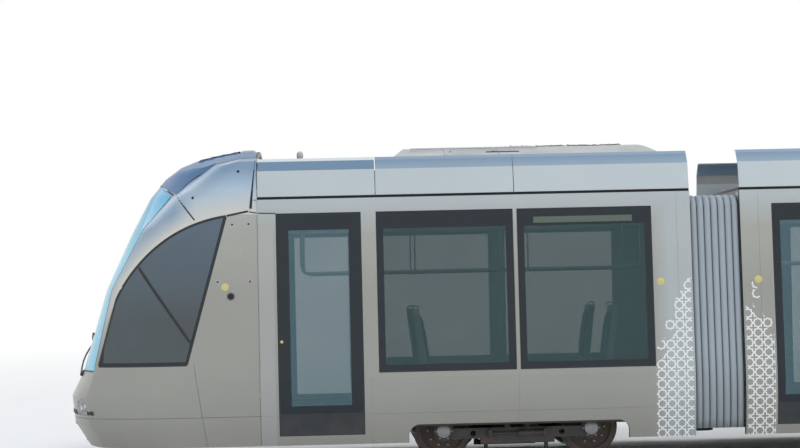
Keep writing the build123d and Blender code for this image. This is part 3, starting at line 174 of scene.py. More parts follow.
# Colours that a user would change, in linear light
COLOURS = (
    ("silver", "Silver", "Body paint", (0.350, 0.352, 0.325)),
    # Painted sky sheen: the lighter, cooler silver of the cant, the fairings and the ends, not a paint of its own
    ("sky_sheen_silver", "Cool silver", "Body paint along the cant and the fairings", (0.430, 0.485, 0.515)),
    # Painted reflection of the sky: the blue silver of faces that look upwards, not a paint of its own
    ("sky_reflection_silver", "Upper silver", "Body paint where it faces the sky", (0.160, 0.255, 0.370)),
    # Painted reflection: the warm pale silver of the cheeks beside the window arch, not a paint of its own
    ("cheek_reflection_warm", "Cheek silver", "Body paint along the arch of the cab window", (0.560, 0.560, 0.520)),
    ("dome", "Dome", "Gloss panel over the windscreen", (0.082, 0.170, 0.315)),
    # Painted sky reflections on the windscreen, low down and near its top, not a tint of the glass
    ("screen_reflection_low", "Windscreen, low", "Tint of the windscreen low down", (0.290, 0.750, 0.960)),
    ("screen_reflection_high", "Windscreen, high", "Tint of the windscreen near its top", (0.090, 0.425, 0.700)),
    # Dark side glass with a painted sky reflection in it
    ("side_glass_and_sky", "Cab side glass", "Tint of the cab's side windows", (0.125, 0.170, 0.212)),
    ("glass", "Saloon glass", "Tint of the saloon panes", (0.030, 0.078, 0.084)),
    ("black", "Door black", "Doors and window surrounds", (0.022, 0.029, 0.036)),
    ("bellows", "Bellows", "Coated fabric of the gangways", (0.310, 0.365, 0.415)),
    ("trim", "Interior trim", "Linings, ceiling and wall panels", (0.560, 0.580, 0.570)),
    ("seat", "Seat cloth", "Moquette of the seat pads", (0.045, 0.085, 0.160)),
    ("yellow", "Marker yellow", "Discs beside the doors", (0.610, 0.560, 0.190)),
)


class TramColours(bpy.types.PropertyGroup):
    """Colours of the finishes."""

    __annotations__ = {
        key: FloatVectorProperty(name=name, description=text, subtype="COLOR", size=3, min=0.0, max=1.0, default=value)
        for key, name, text, value in COLOURS
    }


class TramSizes(bpy.types.PropertyGroup):
    """Sizes of the fittings."""

    folds: IntProperty(name="Bellows folds", description="Folds of each gangway bellows", default=7, min=3, max=12)
    fold_depth: FloatProperty(name="Fold depth", description="Depth of a bellows fold", default=0.035, unit="LENGTH")
    disc: FloatProperty(name="Marker disc", description="Diameter of the yellow discs", default=0.080, unit="LENGTH")
    lattice: FloatProperty(name="Lattice pitch", description="Distance between the stars of the white lattice",
                           default=0.105, unit="LENGTH")
    seal: FloatProperty(name="Seal width", description="Width of the rubber round the cab glass", default=0.016,
                        unit="LENGTH")
    wiper: FloatProperty(name="Wiper length", description="Length of the wiper blade", default=0.95, unit="LENGTH")
    lens: FloatProperty(name="Camera lens", description="Focal length of the studio camera in millimetres",
                        default=85.5)


def chosen(key):
    """A colour from the sidebar."""
    return tuple(getattr(bpy.context.scene.tram_colours, key))


def sizes():
    """The sizes from the sidebar."""
    return bpy.context.scene.tram_sizes


# Shader maths

class Term:
    """A number that changes over a surface. Arithmetic on it adds Math nodes."""

    def __init__(self, finish, socket):
        self.finish = finish
        self.socket = socket

    def maths(self, operation, *others, clamp=False):
        """Result of a Math node on the term and other values."""
        values = {index: value for index, value in enumerate((self,) + others)}
        node = self.finish.node("ShaderNodeMath", {"operation": operation, "use_clamp": clamp}, values)
        return Term(self.finish, node.outputs[0])

    def reflected(self, operation, other):
        """Result of a Math node with the other value first."""
        node = self.finish.node("ShaderNodeMath", {"operation": operation}, {0: other, 1: self})
        return Term(self.finish, node.outputs[0])

    def __add__(self, other):
        return self.maths("ADD", other)

    def __sub__(self, other):
        return self.maths("SUBTRACT", other)

    def __mul__(self, other):
        return self.maths("MULTIPLY", other)

    def __truediv__(self, other):
        return self.maths("DIVIDE", other)

    def __pow__(self, other):
        return self.maths("POWER", other)

    def __gt__(self, other):
        return self.maths("GREATER_THAN", other)

    def __lt__(self, other):
        return self.maths("LESS_THAN", other)

    def __abs__(self):
        return self.maths("ABSOLUTE")

    def __radd__(self, other):
        return self.reflected("ADD", other)

    def __rsub__(self, other):
        return self.reflected("SUBTRACT", other)

    def __rmul__(self, other):
        return self.reflected("MULTIPLY", other)

    def least(self, other):
        """The smaller of two values."""
        return self.maths("MINIMUM", other)

    def most(self, other):
        """The larger of two values."""
        return self.maths("MAXIMUM", other)

    def clamped(self):
        """The value held between 0 and 1."""
        return self.maths("ADD", 0.0, clamp=True)

    def ramp(self, start, end):
        """0 before start, 1 after end and straight between; start may be the larger."""
        return ((self - start) / (end - start)).clamped()

    def between(self, low, high):
        """1 between two values and 0 elsewhere."""
        return (self > low) * (self < high)


class Tree:
    """A node tree, and the one way in which nodes are added to it."""

    def __init__(self, tree):
        self.tree = tree

    def feed(self, node, socket, value):
        """Sets or links one input of a node."""
        target = node.inputs[socket]
        if isinstance(value, Term):
            value = value.socket
        if isinstance(value, bpy.types.NodeSocket):
            self.tree.links.new(value, target)
        elif isinstance(value, (tuple, list, Vector)) and len(value) == 3 and target.type == "RGBA":
            target.default_value = (*value, 1.0)
        else:
            target.default_value = value

    def node(self, kind, settings=None, values=None):
        """Adds a node, with its settings first and then the values or links of its sockets."""
        node = self.tree.nodes.new(kind)
        for key, value in (settings or {}).items():
            setattr(node, key, value)
        for socket, value in (values or {}).items():
            self.feed(node, socket, value)
        return node


class Finish(Tree):
    """One procedural material: a Principled shader and the nodes that feed it."""

    made = {}

    def __init__(self, name, colour, roughness, metallic=0.0, **fixed):
        self.material = bpy.data.materials.new(name)
        self.material.use_nodes = True
        super().__init__(self.material.node_tree)
        self.shader = self.tree.nodes["Principled BSDF"]
        self.feed(self.shader, "Base Color", (*colour, 1.0))
        self.feed(self.shader, "Roughness", roughness)
        self.feed(self.shader, "Metallic", metallic)
        for socket, value in fixed.items():
            self.feed(self.shader, socket.replace("_", " "), value)
        Finish.made[name] = self

    def place(self):
        """X, Y and Z of the point at rest, as terms."""
        if not hasattr(self, "split"):
            self.point = self.node("ShaderNodeTexCoord").outputs["Object"]
            self.split = self.node("ShaderNodeSeparateXYZ", None, {0: self.point})
        return [Term(self, self.split.outputs[axis]) for axis in range(3)]

    def facing(self):
        """X, Y and Z of the surface normal, as terms."""
        geometry = self.node("ShaderNodeNewGeometry")
        split = self.node("ShaderNodeSeparateXYZ", None, {0: geometry.outputs["Normal"]})
        return [Term(self, split.outputs[axis]) for axis in range(3)]

    def stretched(self, scale):
        """The point at rest, scaled differently along each axis."""
        self.place()
        node = self.node("ShaderNodeVectorMath", {"operation": "MULTIPLY"}, {0: self.point, 1: scale})
        return node.outputs[0]

    def noise(self, scale, detail=3.0, stretch=(1.0, 1.0, 1.0)):
        """Soft noise between 0 and 1, as a term."""
        vector = self.stretched(stretch)
        node = self.node("ShaderNodeTexNoise", None, {"Vector": vector, "Scale": scale, "Detail": detail})
        return Term(self, node.outputs["Fac"])

    def mix(self, factor, first, second):
        """Colour between two colours."""
        node = self.node("ShaderNodeMix", {"data_type": "RGBA"}, {0: factor, 6: first, 7: second})
        return node.outputs[2]

    def colour(self, value):
        """Sets or links the base colour."""
        self.feed(self.shader, "Base Color", value)
        return self

    def rough(self, value):
        """Sets or links the roughness."""
        self.feed(self.shader, "Roughness", value)
        return self

    def bump(self, height, depth, strength=0.4):
        """Shades the surface by a height."""
        node = self.node("ShaderNodeBump", None, {"Height": height, "Distance": depth, "Strength": strength})
        self.feed(self.shader, "Normal", node.outputs["Normal"])
        return self


def finish(name):
    """The finished material of a name."""
    return Finish.made[name].material


def dusted(made, base, amount=0.05, scale=1.1):
    """Base colour with slow variation over the surface, such as hand-washed paint has."""
    cloud = made.noise(scale, 4.0)
    dark = made.node("ShaderNodeMix", {"data_type": "RGBA", "blend_type": "MULTIPLY"},
                     {0: (cloud - 0.35).clamped() * (amount * 4), 6: base, 7: (0.55, 0.56, 0.56)})
    return dark.outputs[2]


def body_depth(made):
    """Depth under the line of the body side, as a term."""
    x, y, z = made.place()
    above = WAIST_HALF - (z - WAIST) * ((WAIST_HALF - CANT_HALF) / (CANT - WAIST))
    drop = (WAIST - z).most(0.0)
    return above.least(WAIST_HALF - drop * drop / (2 * SKIRT_RADIUS)) - abs(y)


def star_lattice(made, pitch, width):
    """Lines of an eight-point star and cross lattice on the body side, as a term of 0 or 1, and each cell's chance."""
    x, y, z = made.place()
    cells = []
    offsets = []
    for term in (x, z):
        scaled = term / pitch
        cell = scaled.maths("FLOOR")
        cells.append(cell)
        offsets.append(abs(scaled - cell - 0.5))
    across, up = offsets
    reach = 0.5 / sqrt(2) * 0.97
    square = across.most(up) - reach
    diamond = (across + up) / sqrt(2) - reach
    line = abs(square.least(diamond)) < width / pitch / 2
    joined = made.node("ShaderNodeCombineXYZ", None, {0: cells[0], 1: cells[1], 2: 0.0})
    chance = made.node("ShaderNodeTexWhiteNoise", None, {"Vector": joined.outputs[0]})
    return line, Term(made, chance.outputs["Value"])


def flake(made, cool, shade):
    """Metallic paint with slow clouds and a film of road dust low down, and painted light: painted shade low on the
    walls, a painted sky sheen where the cool mask says and a painted sky reflection where the shade mask says.
    """
    x, y, z = made.place()
    plain_silver = chosen("silver")
    # Painted shade: the silver darker low on the walls
    tone = made.mix(z.ramp(2.35, 1.85), plain_silver, tuple(part * 0.87 for part in plain_silver))
    # Painted sky sheen: lighter, cooler silver where the cool mask says
    tone = made.mix(cool, tone, chosen("sky_sheen_silver"))
    # Painted sky reflection: blue silver where the shade mask says
    tone = made.mix(shade, tone, chosen("sky_reflection_silver"))
    streaks = made.noise(3.0, 5.0, (1.0, 1.0, 0.25))
    film = z.ramp(0.75, 0.20) * (streaks * 0.55 + 0.15)
    made.rough(0.36 + made.noise(2.3) * 0.12 + film * 0.2)
    return made.mix(film * 0.5, dusted(made, tone), (0.17, 0.155, 0.135))


# Sheen of the silver paint
SILVER_PAINT = {"roughness": 0.36, "metallic": 0.35, "Coat_Roughness": 0.08}


def silver_walls():
    """Paint of the side walls: silver, black rebates, pale lining inside, white lattice by the gangways, and painted
    light: a painted sky sheen along the cant, by the gangways and on the cab posts, and painted shade low down.
    """
    made = Finish("silver_walls", chosen("silver"), **SILVER_PAINT)
    x, y, z = made.place()
    depth = body_depth(made)
    # Painted sky sheen: lighter, cooler silver along the cant, by the gangways and on the cab posts
    gangway_sheen = abs(x).ramp(FRONT_END + 0.45, FRONT_END + 0.25) * (abs(x) > MID_END) * 0.7
    gangway_sheen = gangway_sheen.most((abs(x) > CAB_LINE - 0.165) * 0.25)
    skin = flake(made, (z.ramp(2.45, 2.80) * 0.8).most(gangway_sheen), 0.0)
    line, chance = star_lattice(made, sizes().lattice, 0.0135)
    near_front = (abs(x) - (FRONT_END + 0.02)).between(0.0, 0.40)
    near_mid = (abs(x) - (MID_END - 0.32)).between(0.0, 0.30)
    edge = (abs(abs(x) - OUTER_PIVOT) - GANGWAY_HALF) / 0.42
    top = 2.02 - edge * 0.62
    fade = (top - z) / 0.55
    shown = (chance < fade + 0.12) * (z < top) * (near_front + near_mid).clamped()
    lattice = line * shown
    painted = made.mix(lattice * 0.92, skin, (0.80, 0.82, 0.82))
    inside = depth > 0.062
    rebate = depth > 0.004
    black = made.mix(rebate, painted, chosen("black"))
    lined = made.mix(inside, black, chosen("trim"))
    made.colour(lined)
    made.feed(made.shader, "Metallic", (1 - rebate) * (0.35 - lattice * 0.3))
    made.feed(made.shader, "Coat Weight", (1 - rebate) * 0.35)


def outside(made, circle):
    """Distance outside a circle of the side view, as a term."""
    x, y, z = made.place()
    centre, radius = circle
    ahead, up = abs(x) - (CAB_LINE + centre.x), z - (RAIL + centre.y)
    return (ahead * ahead + up * up) ** 0.5 - radius


def cheek_reflections(made, over):
    """Painted reflections on the cheeks, by distance over the window arch: warm beside it, bluer up to the dome and the
    screen.
    """
    x, y, z = made.place()
    # Painted reflections: warm beside the arch, bluer towards the dome, bluest beside the screen
    tone = made.mix(over.ramp(0.02, 0.28), chosen("cheek_reflection_warm"), (0.400, 0.500, 0.600))
    beside_screen = (abs(x) - CAB_LINE).ramp(0.66, 0.90) * over.ramp(0.03, 0.20) * 0.75
    tone = made.mix((over.ramp(0.22, 0.50) * 0.92).most(beside_screen), tone, chosen("sky_reflection_silver"))
    return dusted(made, tone, 0.03)


def silver_nose():
    """Paint of the nose: painted reflections on the cheeks over the arch of the side window, warm beside it and sky
    blue higher up, plain silver below, and painted shade on the rear face.
    """
    made = Finish("silver_nose", chosen("silver"), **SILVER_PAINT)
    x, y, z = made.place()
    over = outside(made, ARCH_CIRCLE)
    high = z.ramp(1.25, 1.9) * (over > 0.0)
    # Painted sky sheen along the cant of the nose
    base = flake(made, z.ramp(2.45, 2.80) * 0.3, 0.0)
    # Painted reflections on the cheeks over the window arch
    tone = made.mix(high, base, cheek_reflections(made, over))
    # Painted shade: the rear face inside the open seam at the cab line is black
    made.colour(made.mix(abs(x) < CAB_LINE + REAR_FACE, tone, chosen("black")))
    made.feed(made.shader, "Coat Weight", 0.25)


def silver_roof():
    """Paint of the roofs: silver fairings with a painted sky sheen, painted sky reflections on their upper faces and a
    painted highlight along their top, black groove under them, grey deck between them, pale ceiling inside.
    """
    made = Finish("silver_roof", chosen("silver"), **SILVER_PAINT)
    x, y, z = made.place()
    first_bay = abs(x) > FRONT_END + 3.378
    # Painted sky reflection: blue silver on the fairings' upper faces, deeper towards their top and on the first bay,
    # over a painted sky sheen on the whole roof
    crown = 0.68 + z.ramp(CREASE, FAIRING_TOP - 0.03) * 0.32 + first_bay * 0.30
    upper = flake(made, 1.0, (z > CREASE - 0.002) * crown.least(1.0))
    upper = made.mix((z > CREASE - 0.002) * first_bay * 0.35, upper, (0.070, 0.150, 0.260))
    # Painted highlight along the top edge of the fairings, strongest on the first bay
    lip = (z - (FAIRING_TOP - 0.034)).ramp(0.0, 0.004) * (first_bay * 0.75 + 0.15)
    upper = made.mix(lip, upper, (0.66, 0.70, 0.73))
    inner = (abs(y) < 1.185) * (z > CANT - 0.02) * (z < CREASE)
    inner = (inner + (abs(y) < 1.05)).clamped()
    deck = made.mix(made.noise(5.0, 5.0), (0.22, 0.23, 0.235), (0.33, 0.335, 0.33))
    with_deck = made.mix(inner, upper, deck)
    groove = z.between(CANT + 0.001, DECK - 0.001) * (abs(y) < CANT_HALF - 0.001)
    with_groove = made.mix(groove, with_deck, (0.012, 0.013, 0.015))
    made.colour(made.mix(z < CEILING + 0.085, with_groove, chosen("trim")))
    made.feed(made.shader, "Metallic", (1 - inner) * (z > CEILING + 0.085) * 0.35)
    made.feed(made.shader, "Coat Weight", (1 - inner) * (1 - groove) * 0.35)


def saloon_glass():
    """Grey-green saloon panes with a printed black border, a trace of dust, paler towards the bottom, and a painted sky
    reflection on the door panes.
    """
    made = Finish("saloon_glass", chosen("glass"), 0.04, 0.0, IOR=1.5, Specular_IOR_Level=0.3)
    dust = made.noise(1.7, 5.0)
    x, y, z = made.place()
    along_body = abs(x)
    panes, leaves = 0.0, 0.0
    for section, kind, start, end in BAYS:
        if kind == "window":
            panes = along_body.between(start + BORDER, end - BORDER) + panes
        elif section == "front":
            leaves = along_body.between(start + 0.135, end - 0.135) + leaves
        else:
            middle = (start + end) / 2
            leaves = along_body.between(start + 0.085, middle - 0.085) + leaves
            leaves = along_body.between(middle + 0.085, end - 0.085) + leaves
    panes = along_body.between(0.0225 + BORDER, 1.28 - BORDER) + panes
    clear = (panes * z.between(WINDOW_FOOT + BORDER, CLEAR_HEAD) + leaves * z.between(0.645, CLEAR_HEAD)).clamped()
    low = z.ramp(1.35, 0.95)
    tint_and_sheen = made.mix(dust * 0.25 + low * 0.1, chosen("glass"), (0.100, 0.150, 0.150))
    # Painted sky reflection: the door panes paler and bluer
    tint_and_sheen = made.mix(leaves * 0.45, tint_and_sheen, (0.200, 0.350, 0.420))
    made.colour(made.mix(clear, (0.019, 0.026, 0.034), tint_and_sheen))
    made.rough(0.035 + dust * 0.05)
    made.feed(made.shader, "Alpha", 0.95 - clear * (0.57 - panes * 0.06 - dust * 0.10))


def cab_glass():
    """Windscreen with a painted pale blue sky reflection that deepens upwards, and darker side panes with a black
    border and a painted reflection that is bluer higher up.
    """
    made = Finish("cab_glass", chosen("screen_reflection_low"), 0.05, 0.0, IOR=1.5, Specular_IOR_Level=0.12)
    x, y, z = made.place()
    dust = made.noise(1.3, 5.0)
    # Painted sky reflection on the windscreen, deeper upwards
    screen = made.mix((z - dust * 0.15).ramp(2.15, 3.0), chosen("screen_reflection_low"), chosen("screen_reflection_high"))
    side = abs(y) > 0.975
    under = 0.0 - outside(made, ARCH_CIRCLE)
    rear = abs(x) - (CAB_LINE + 0.335) - (RAIL + 2.66 - z) * 0.2785
    low = z - (RAIL + 1.08)
    border = (under.most(0.0) * 2.5).least(rear * 1.5).least(low) < 0.036
    # Painted reflection on the side panes: neutral low down, bluer higher up
    sheen = made.mix(z.ramp(1.55, 2.55), (0.100, 0.114, 0.119), chosen("side_glass_and_sky"))
    sheen = made.mix(dust.ramp(0.35, 0.75) * 0.35, sheen, (0.13, 0.17, 0.20))
    pane = made.mix(border * 0.85, sheen, (0.022, 0.028, 0.034))
    made.colour(made.mix(side, screen, pane))
    made.rough(0.05 + dust * 0.05)
    made.feed(made.shader, "Alpha", 0.78 + side * 0.06 + side * border * 0.14)


def dome_gloss():
    """Dark gloss of the dome, with a painted sheen that makes it paler towards its rear edge, silver with painted
    reflections along the cheeks below its arch, and painted shade on its rear face.
    """
    made = Finish("dome", chosen("dome"), 0.3, 0.0, Specular_IOR_Level=0.06)
    x, y, z = made.place()
    # Painted sheen: the dome paler towards its rear edge
    sheen = made.mix(abs(x).ramp(CAB_LINE + 0.60, CAB_LINE + 0.05) * 0.12, chosen("dome"), (0.20, 0.32, 0.46))
    cheek = abs(y) - dome_half(abs(x) - CAB_LINE) > 0.0
    # Painted reflections on the cheek silver below the dome's arch
    tone = made.mix(cheek, dusted(made, sheen, 0.04, 1.6), cheek_reflections(made, outside(made, ARCH_CIRCLE)))
    # Painted shade: the rear face inside the open seam at the cab line is black
    made.colour(made.mix(abs(x) < CAB_LINE + REAR_FACE, tone, chosen("black")))
    made.feed(made.shader, "Metallic", cheek * 0.35)
    made.rough(0.30 + cheek * 0.08)


def door_paint():
    """Gloss black of the doors, with a film of road dust low down."""
    made = Finish("door_paint", chosen("black"), 0.16, 0.0, Specular_IOR_Level=0.3)
    x, y, z = made.place()
    film = z.ramp(0.85, 0.33) * made.noise(6.0, 5.0)
    made.colour(made.mix(film * 0.5, dusted(made, chosen("black")), (0.12, 0.11, 0.10)))
    made.rough(0.16 + made.noise(4.0) * 0.06)


def bellows_cloth(name, shade):
    """Coated fabric with a fine weave, darker by the shade down in the folds."""
    made = Finish(name, chosen("bellows"), 0.62)
    x, y, z = made.place()
    cloud = made.noise(2.0, 4.0, (3.0, 1.0, 1.0))
    low = z.ramp(1.1, 0.3)
    tone = made.mix(cloud * 0.45, chosen("bellows"), (0.40, 0.43, 0.45))
    tone = made.mix((z < 2.70) * shade, tone, (0.060, 0.075, 0.095))
    made.colour(made.mix(low * 0.45, tone, (0.15, 0.15, 0.15)))
    weave = made.node("ShaderNodeTexWave", {"wave_type": "BANDS", "bands_direction": "Z"}, {"Scale": 120.0})
    made.bump(Term(made, weave.outputs["Fac"]) + made.noise(90.0), 0.0008)


def rolled_iron():
    """Painted iron with brake dust."""
    made = Finish("bogie_iron", (0.06, 0.063, 0.068), 0.62, 0.2)
    dust = made.noise(7.0, 6.0)
    made.colour(made.mix((dust - 0.42).clamped() * 2.4, (0.055, 0.058, 0.062), (0.125, 0.085, 0.060)))
    made.bump(made.noise(60.0, 4.0), 0.002)


def wheel_steel():
    """Bright tread and flange, dusty web: the tread is told by its distance from the axle line."""
    for name, station in (
            ("front_1", BOGIE_X + AXLE_REACH), ("front_2", BOGIE_X - AXLE_REACH),
            ("centre_1", AXLE_REACH), ("centre_2", -AXLE_REACH),
            ("rear_1", -BOGIE_X - AXLE_REACH), ("rear_2", -BOGIE_X + AXLE_REACH)):
        made = Finish("wheel_steel_" + name, (0.42, 0.41, 0.40), 0.32, 0.9)
        x, y, z = made.place()
        along, up = x - station, z - AXLE_Z
        radius = (along * along + up * up) ** 0.5
        tread = (radius > 0.2925) * (abs(y) < 0.803)
        rust = made.mix(made.noise(9.0, 5.0), (0.085, 0.075, 0.068), (0.150, 0.115, 0.090))
        made.colour(made.mix(tread, rust, (0.52, 0.51, 0.50)))
        made.rough(0.68 - tread * 0.42)
        made.feed(made.shader, "Metallic", 0.35 + tread * 0.55)


def floor_cover():
    """Underside paint below, speckled floor covering above."""
    made = Finish("floor_cover", (0.10, 0.11, 0.12), 0.7)
    nx, ny, nz = made.facing()
    speck = made.noise(160.0, 2.0)
    cover = made.mix((speck - 0.52).clamped() * 9, (0.105, 0.115, 0.125), (0.30, 0.31, 0.32))
    under = made.mix(made.noise(4.0, 5.0), (0.035, 0.036, 0.038), (0.085, 0.075, 0.065))
    made.colour(made.mix(nz > 0.5, under, cover))


def roof_paint():
    """Sooty grey roof gear, with dark fan wells and brown insulator sheds."""
    made = Finish("roof_paint", (0.40, 0.42, 0.44), 0.48, 0.1)
    soot = made.noise(2.2, 6.0)
    x, y, z = made.place()
    pale = made.mix((soot - 0.40).clamped() * 1.6, (0.47, 0.49, 0.50), (0.26, 0.265, 0.26))
    fan = 9.0
    for station in FAN_STATIONS:
        along = abs(x) - station
        fan = ((along * along + y * y) ** 0.5).least(fan)
    well = (fan < 0.308) * (z < 3.449)
    pale = made.mix(well, pale, (0.045, 0.048, 0.052))
    sheds = (abs(x) < 1.0) * (abs(abs(y) - 0.38) < 0.07) * z.between(DECK + 0.012, 3.094)
    pale = made.mix(sheds, pale, (0.22, 0.055, 0.035))
    made.colour(pale)
    made.rough(0.42 + soot * 0.2)


def furniture():
    """Moulded seat shells, pale poles, the driver's wall and desk, told apart by where they stand."""
    made = Finish("furniture", (0.22, 0.25, 0.28), 0.42)
    x, y, z = made.place()
    reach = abs(x)
    cloud = made.noise(4.0, 4.0)
    shell = made.mix(cloud, (0.20, 0.225, 0.25), (0.28, 0.305, 0.33))
    cab = made.mix(cloud, (0.030, 0.032, 0.035), (0.055, 0.057, 0.060))
    wall = made.mix(cloud * 0.5, (0.50, 0.52, 0.52), (0.42, 0.44, 0.44))
    tone = made.mix(reach > CAB_LINE, shell, cab)
    tone = made.mix(reach.between(CAB_LINE - 0.11, CAB_LINE - 0.05), tone, wall)
    away = abs(reach - POLE_STATIONS[0])
    for station in POLE_STATIONS[1:]:
        away = away.least(abs(reach - station))
    pole = (away < 0.02) * (abs(abs(y) - POLE_Y) < 0.02)
    made.colour(made.mix(pole, tone, (0.52, 0.54, 0.54)))
    made.rough(0.45 - pole * 0.18 + cloud * 0.08)
    made.bump(made.noise(260.0, 2.0) * (1 - pole), 0.0004)


def pan_metal():
    """Galvanised pantograph tubes, with black carbon along the top of the head."""
    made = Finish("pan_metal", (0.33, 0.34, 0.35), 0.42, 0.7)
    x, y, z = made.place()
    carbon = (z > PAN_TOP - 0.022) * (abs(y) < 0.76)
    zinc = made.mix(made.noise(22.0, 5.0), (0.27, 0.28, 0.29), (0.42, 0.43, 0.44))
    made.colour(made.mix(carbon, zinc, (0.022, 0.022, 0.024)))
    made.feed(made.shader, "Metallic", 0.7 - carbon * 0.7)
    made.rough(0.36 + carbon * 0.2 + made.noise(30.0) * 0.1)


def seat_cloth():
    """Woven moquette with a small generic check."""
    made = Finish("seat_cloth", chosen("seat"), 0.85, 0.0, Sheen_Weight=0.25)
    x, y, z = made.place()
    pattern = ((x * 38.0).maths("SINE") * (y * 38.0).maths("SINE") * (z * 38.0).maths("COSINE")) > 0.12
    thread = made.noise(420.0, 2.0)
    base = made.mix(pattern * 0.6, chosen("seat"), (0.10, 0.20, 0.30))
    made.colour(made.mix(thread * 0.25, base, (0.22, 0.26, 0.30)))
    made.bump(thread, 0.0006)


def plain(name, colour, roughness, metallic=0.0, grain=25.0, **fixed):
    """Even finish with a little grain in its tone and roughness."""
    made = Finish(name, colour, roughness, metallic, **fixed)
    cloud = made.noise(grain, 4.0)
    darker = tuple(part * 0.72 for part in colour)
    made.colour(made.mix(cloud * 0.5, colour, darker))
    made.rough(roughness * 0.85 + cloud * roughness * 0.3)
    return made


def lit(name, colour, strength):
    """Lamp or panel that glows a little."""
    made = plain(name, colour, 0.35)
    made.feed(made.shader, "Emission Strength", strength)
    dimmer = tuple(part * 0.8 for part in colour)
    made.feed(made.shader, "Emission Color", made.mix(made.noise(14.0) * 0.3, colour, dimmer))


# Mesh building

def around(count, radius, start=0.0):
    """Points of a circle, as two distances from its middle."""
    angles = [start + tau * k / count for k in range(count)]
    return [(radius * cos(angle), radius * sin(angle)) for angle in angles]


class Form:
    """Mesh of one piece while it is put together, with a finish for each group of faces."""

    def __init__(self):
        self.mesh = bmesh.new()
        self.names = []
        self.index = 0

    def use(self, name):
        """Gives the faces that follow this finish."""
        if name not in self.names:
            self.names.append(name)
        self.index = self.names.index(name)
        return self

    def skin(self, rings, round_ring=True, capped=True, closed=False):
        """Faces between rings of equally many points; closed joins the last ring to the first."""
        rows = [[self.mesh.verts.new(point) for point in ring] for ring in rings]
        count = len(rows[0])
        made = []
        for near, far in zip(rows if closed else rows[:-1], rows[1:] + rows[:1]):
            for i in range(count if round_ring else count - 1):
                j = (i + 1) % count
                made.append(self.mesh.faces.new((near[i], near[j], far[j], far[i])))
        if capped and not closed:
            made += [self.mesh.faces.new(rows[0][::-1]), self.mesh.faces.new(rows[-1])]
        for face in made:
            face.material_index = self.index
        return self

    def block(self, first, second):
        """Box between two opposite corners."""
        (x0, x1), (y0, y1), (z0, z1) = (sorted(ends) for ends in zip(first, second))
        rings = [[(x0, y0, z), (x1, y0, z), (x1, y1, z), (x0, y1, z)] for z in (z0, z1)]
        return self.skin(rings)

    def prism(self, outline, axis, start, end):
        """Outline of two coordinates swept along axis 0, 1 or 2."""
        def at(point, along):
            full = list(point)
            full.insert(axis, along)
            return full
        return self.skin([[at(point, along) for point in outline] for along in (start, end)])

    def bar(self, y, foot, low, crest, high, start, end):
        """Bar along the body, by the half widths and heights of its foot and its crest."""
        return self.prism([(y - foot, low), (y + foot, low), (y + crest, high), (y - crest, high)], 0, start, end)

    def tube(self, path, radius, sides=10, closed=False):
        """Round bar along points; closed makes a ring of it."""
        path = [Vector(point) for point in path]
        last = len(path) - 1
        rings = []
        side = None
        for i, point in enumerate(path):
            ahead = path[(i + 1) % len(path)] if closed else path[min(i + 1, last)]
            behind = path[i - 1] if closed else path[max(i - 1, 0)]
            run = (ahead - behind).normalized()
            if side is None:
                side = run.cross(Vector((0, 0, 1)) if abs(run.z) < 0.9 else Vector((0, 1, 0))).normalized()
            side = (side - run * side.dot(run)).normalized()
            up = run.cross(side)
            rings.append([point + (side * cos(tau * k / sides) + up * sin(tau * k / sides)) * radius
                          for k in range(sides)])
        return self.skin(rings, closed=closed)

    def lathe(self, centre, axis, profile, sides=24):
        """Round solid: profile rows are distance along the axis from the centre, and radius."""
        centre, axis = Vector(centre), Vector(axis).normalized()
        side = axis.cross(Vector((0, 0, 1)) if abs(axis.z) < 0.9 else Vector((1, 0, 0))).normalized()
        up = axis.cross(side)
        rings = [[centre + axis * along + (side * cos(tau * k / sides) + up * sin(tau * k / sides)) * radius
                  for k in range(sides)] for along, radius in profile]
        return self.skin(rings)

    def place(self, name, body, slot, turned=False, bevel=0.0, smooth=40):
        """Makes the object, turned half a turn about Z for the rear half on request."""
        bmesh.ops.recalc_face_normals(self.mesh, faces=self.mesh.faces)
        mesh = bpy.data.meshes.new(name)
        self.mesh.to_mesh(mesh)
        for vertex in mesh.vertices:
            vertex.co.y = max(-WAIST_HALF, min(WAIST_HALF, vertex.co.y))
        if turned:
            mesh.transform(Matrix.Rotation(pi, 4, "Z"))
        for made in self.names:
            mesh.materials.append(finish(made))
        mesh.shade_smooth()
        mesh.set_sharp_from_angle(angle=radians(smooth))
        piece = bpy.data.objects.new(name, mesh)
        bpy.context.scene.collection.objects.link(piece)
        if bevel:
            edge = piece.modifiers.new("edges", "BEVEL")
            edge.width = bevel
            edge.segments = 2
            edge.limit_method = "ANGLE"
            edge.angle_limit = radians(40)
            edge.harden_normals = True
        if body:
            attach(piece, body)
        return piece

    def pair(self, name, bodies, slot, **how):
        """The piece on the front half and its copy turned half a turn on the rear half."""
        for body, turned in zip(bodies, (False, True)):
            self.place(f"{body}_{name}", body, slot, turned=turned, **how)


class Surface:
    """Outside of some solids, for putting fittings on."""

    def __init__(self, *nodes):
        mesh = bmesh.new()
        for node in nodes:
            mesh.from_mesh(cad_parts[node].data)
        self.tree = BVHTree.FromBMesh(mesh)
        mesh.free()

    def hit(self, origin, way):
        """Nearest point along a line, and the normal there turned against the line."""
        way = Vector(way)
        point, normal, index, distance = self.tree.ray_cast(Vector(origin), way)
        if point is None:
            raise RuntimeError(f"no surface under {tuple(origin)}")
        return point, (-normal if normal.dot(way) > 0 else normal)

    def side(self, x, z, side=1):
        """Point and normal of the body side."""
        return self.hit((x, side * RAY_SIDE, z), (0, -side, 0))

    def front(self, y, z):
        """Point and normal seen from ahead."""
        return self.hit((NOSE_TIP + RAY_AHEAD, y, z), (-1, 0, 0))

    def top(self, x, y):
        """Point and normal seen from above."""
        return self.hit((x, y, RAY_TOP), (0, 0, -1))


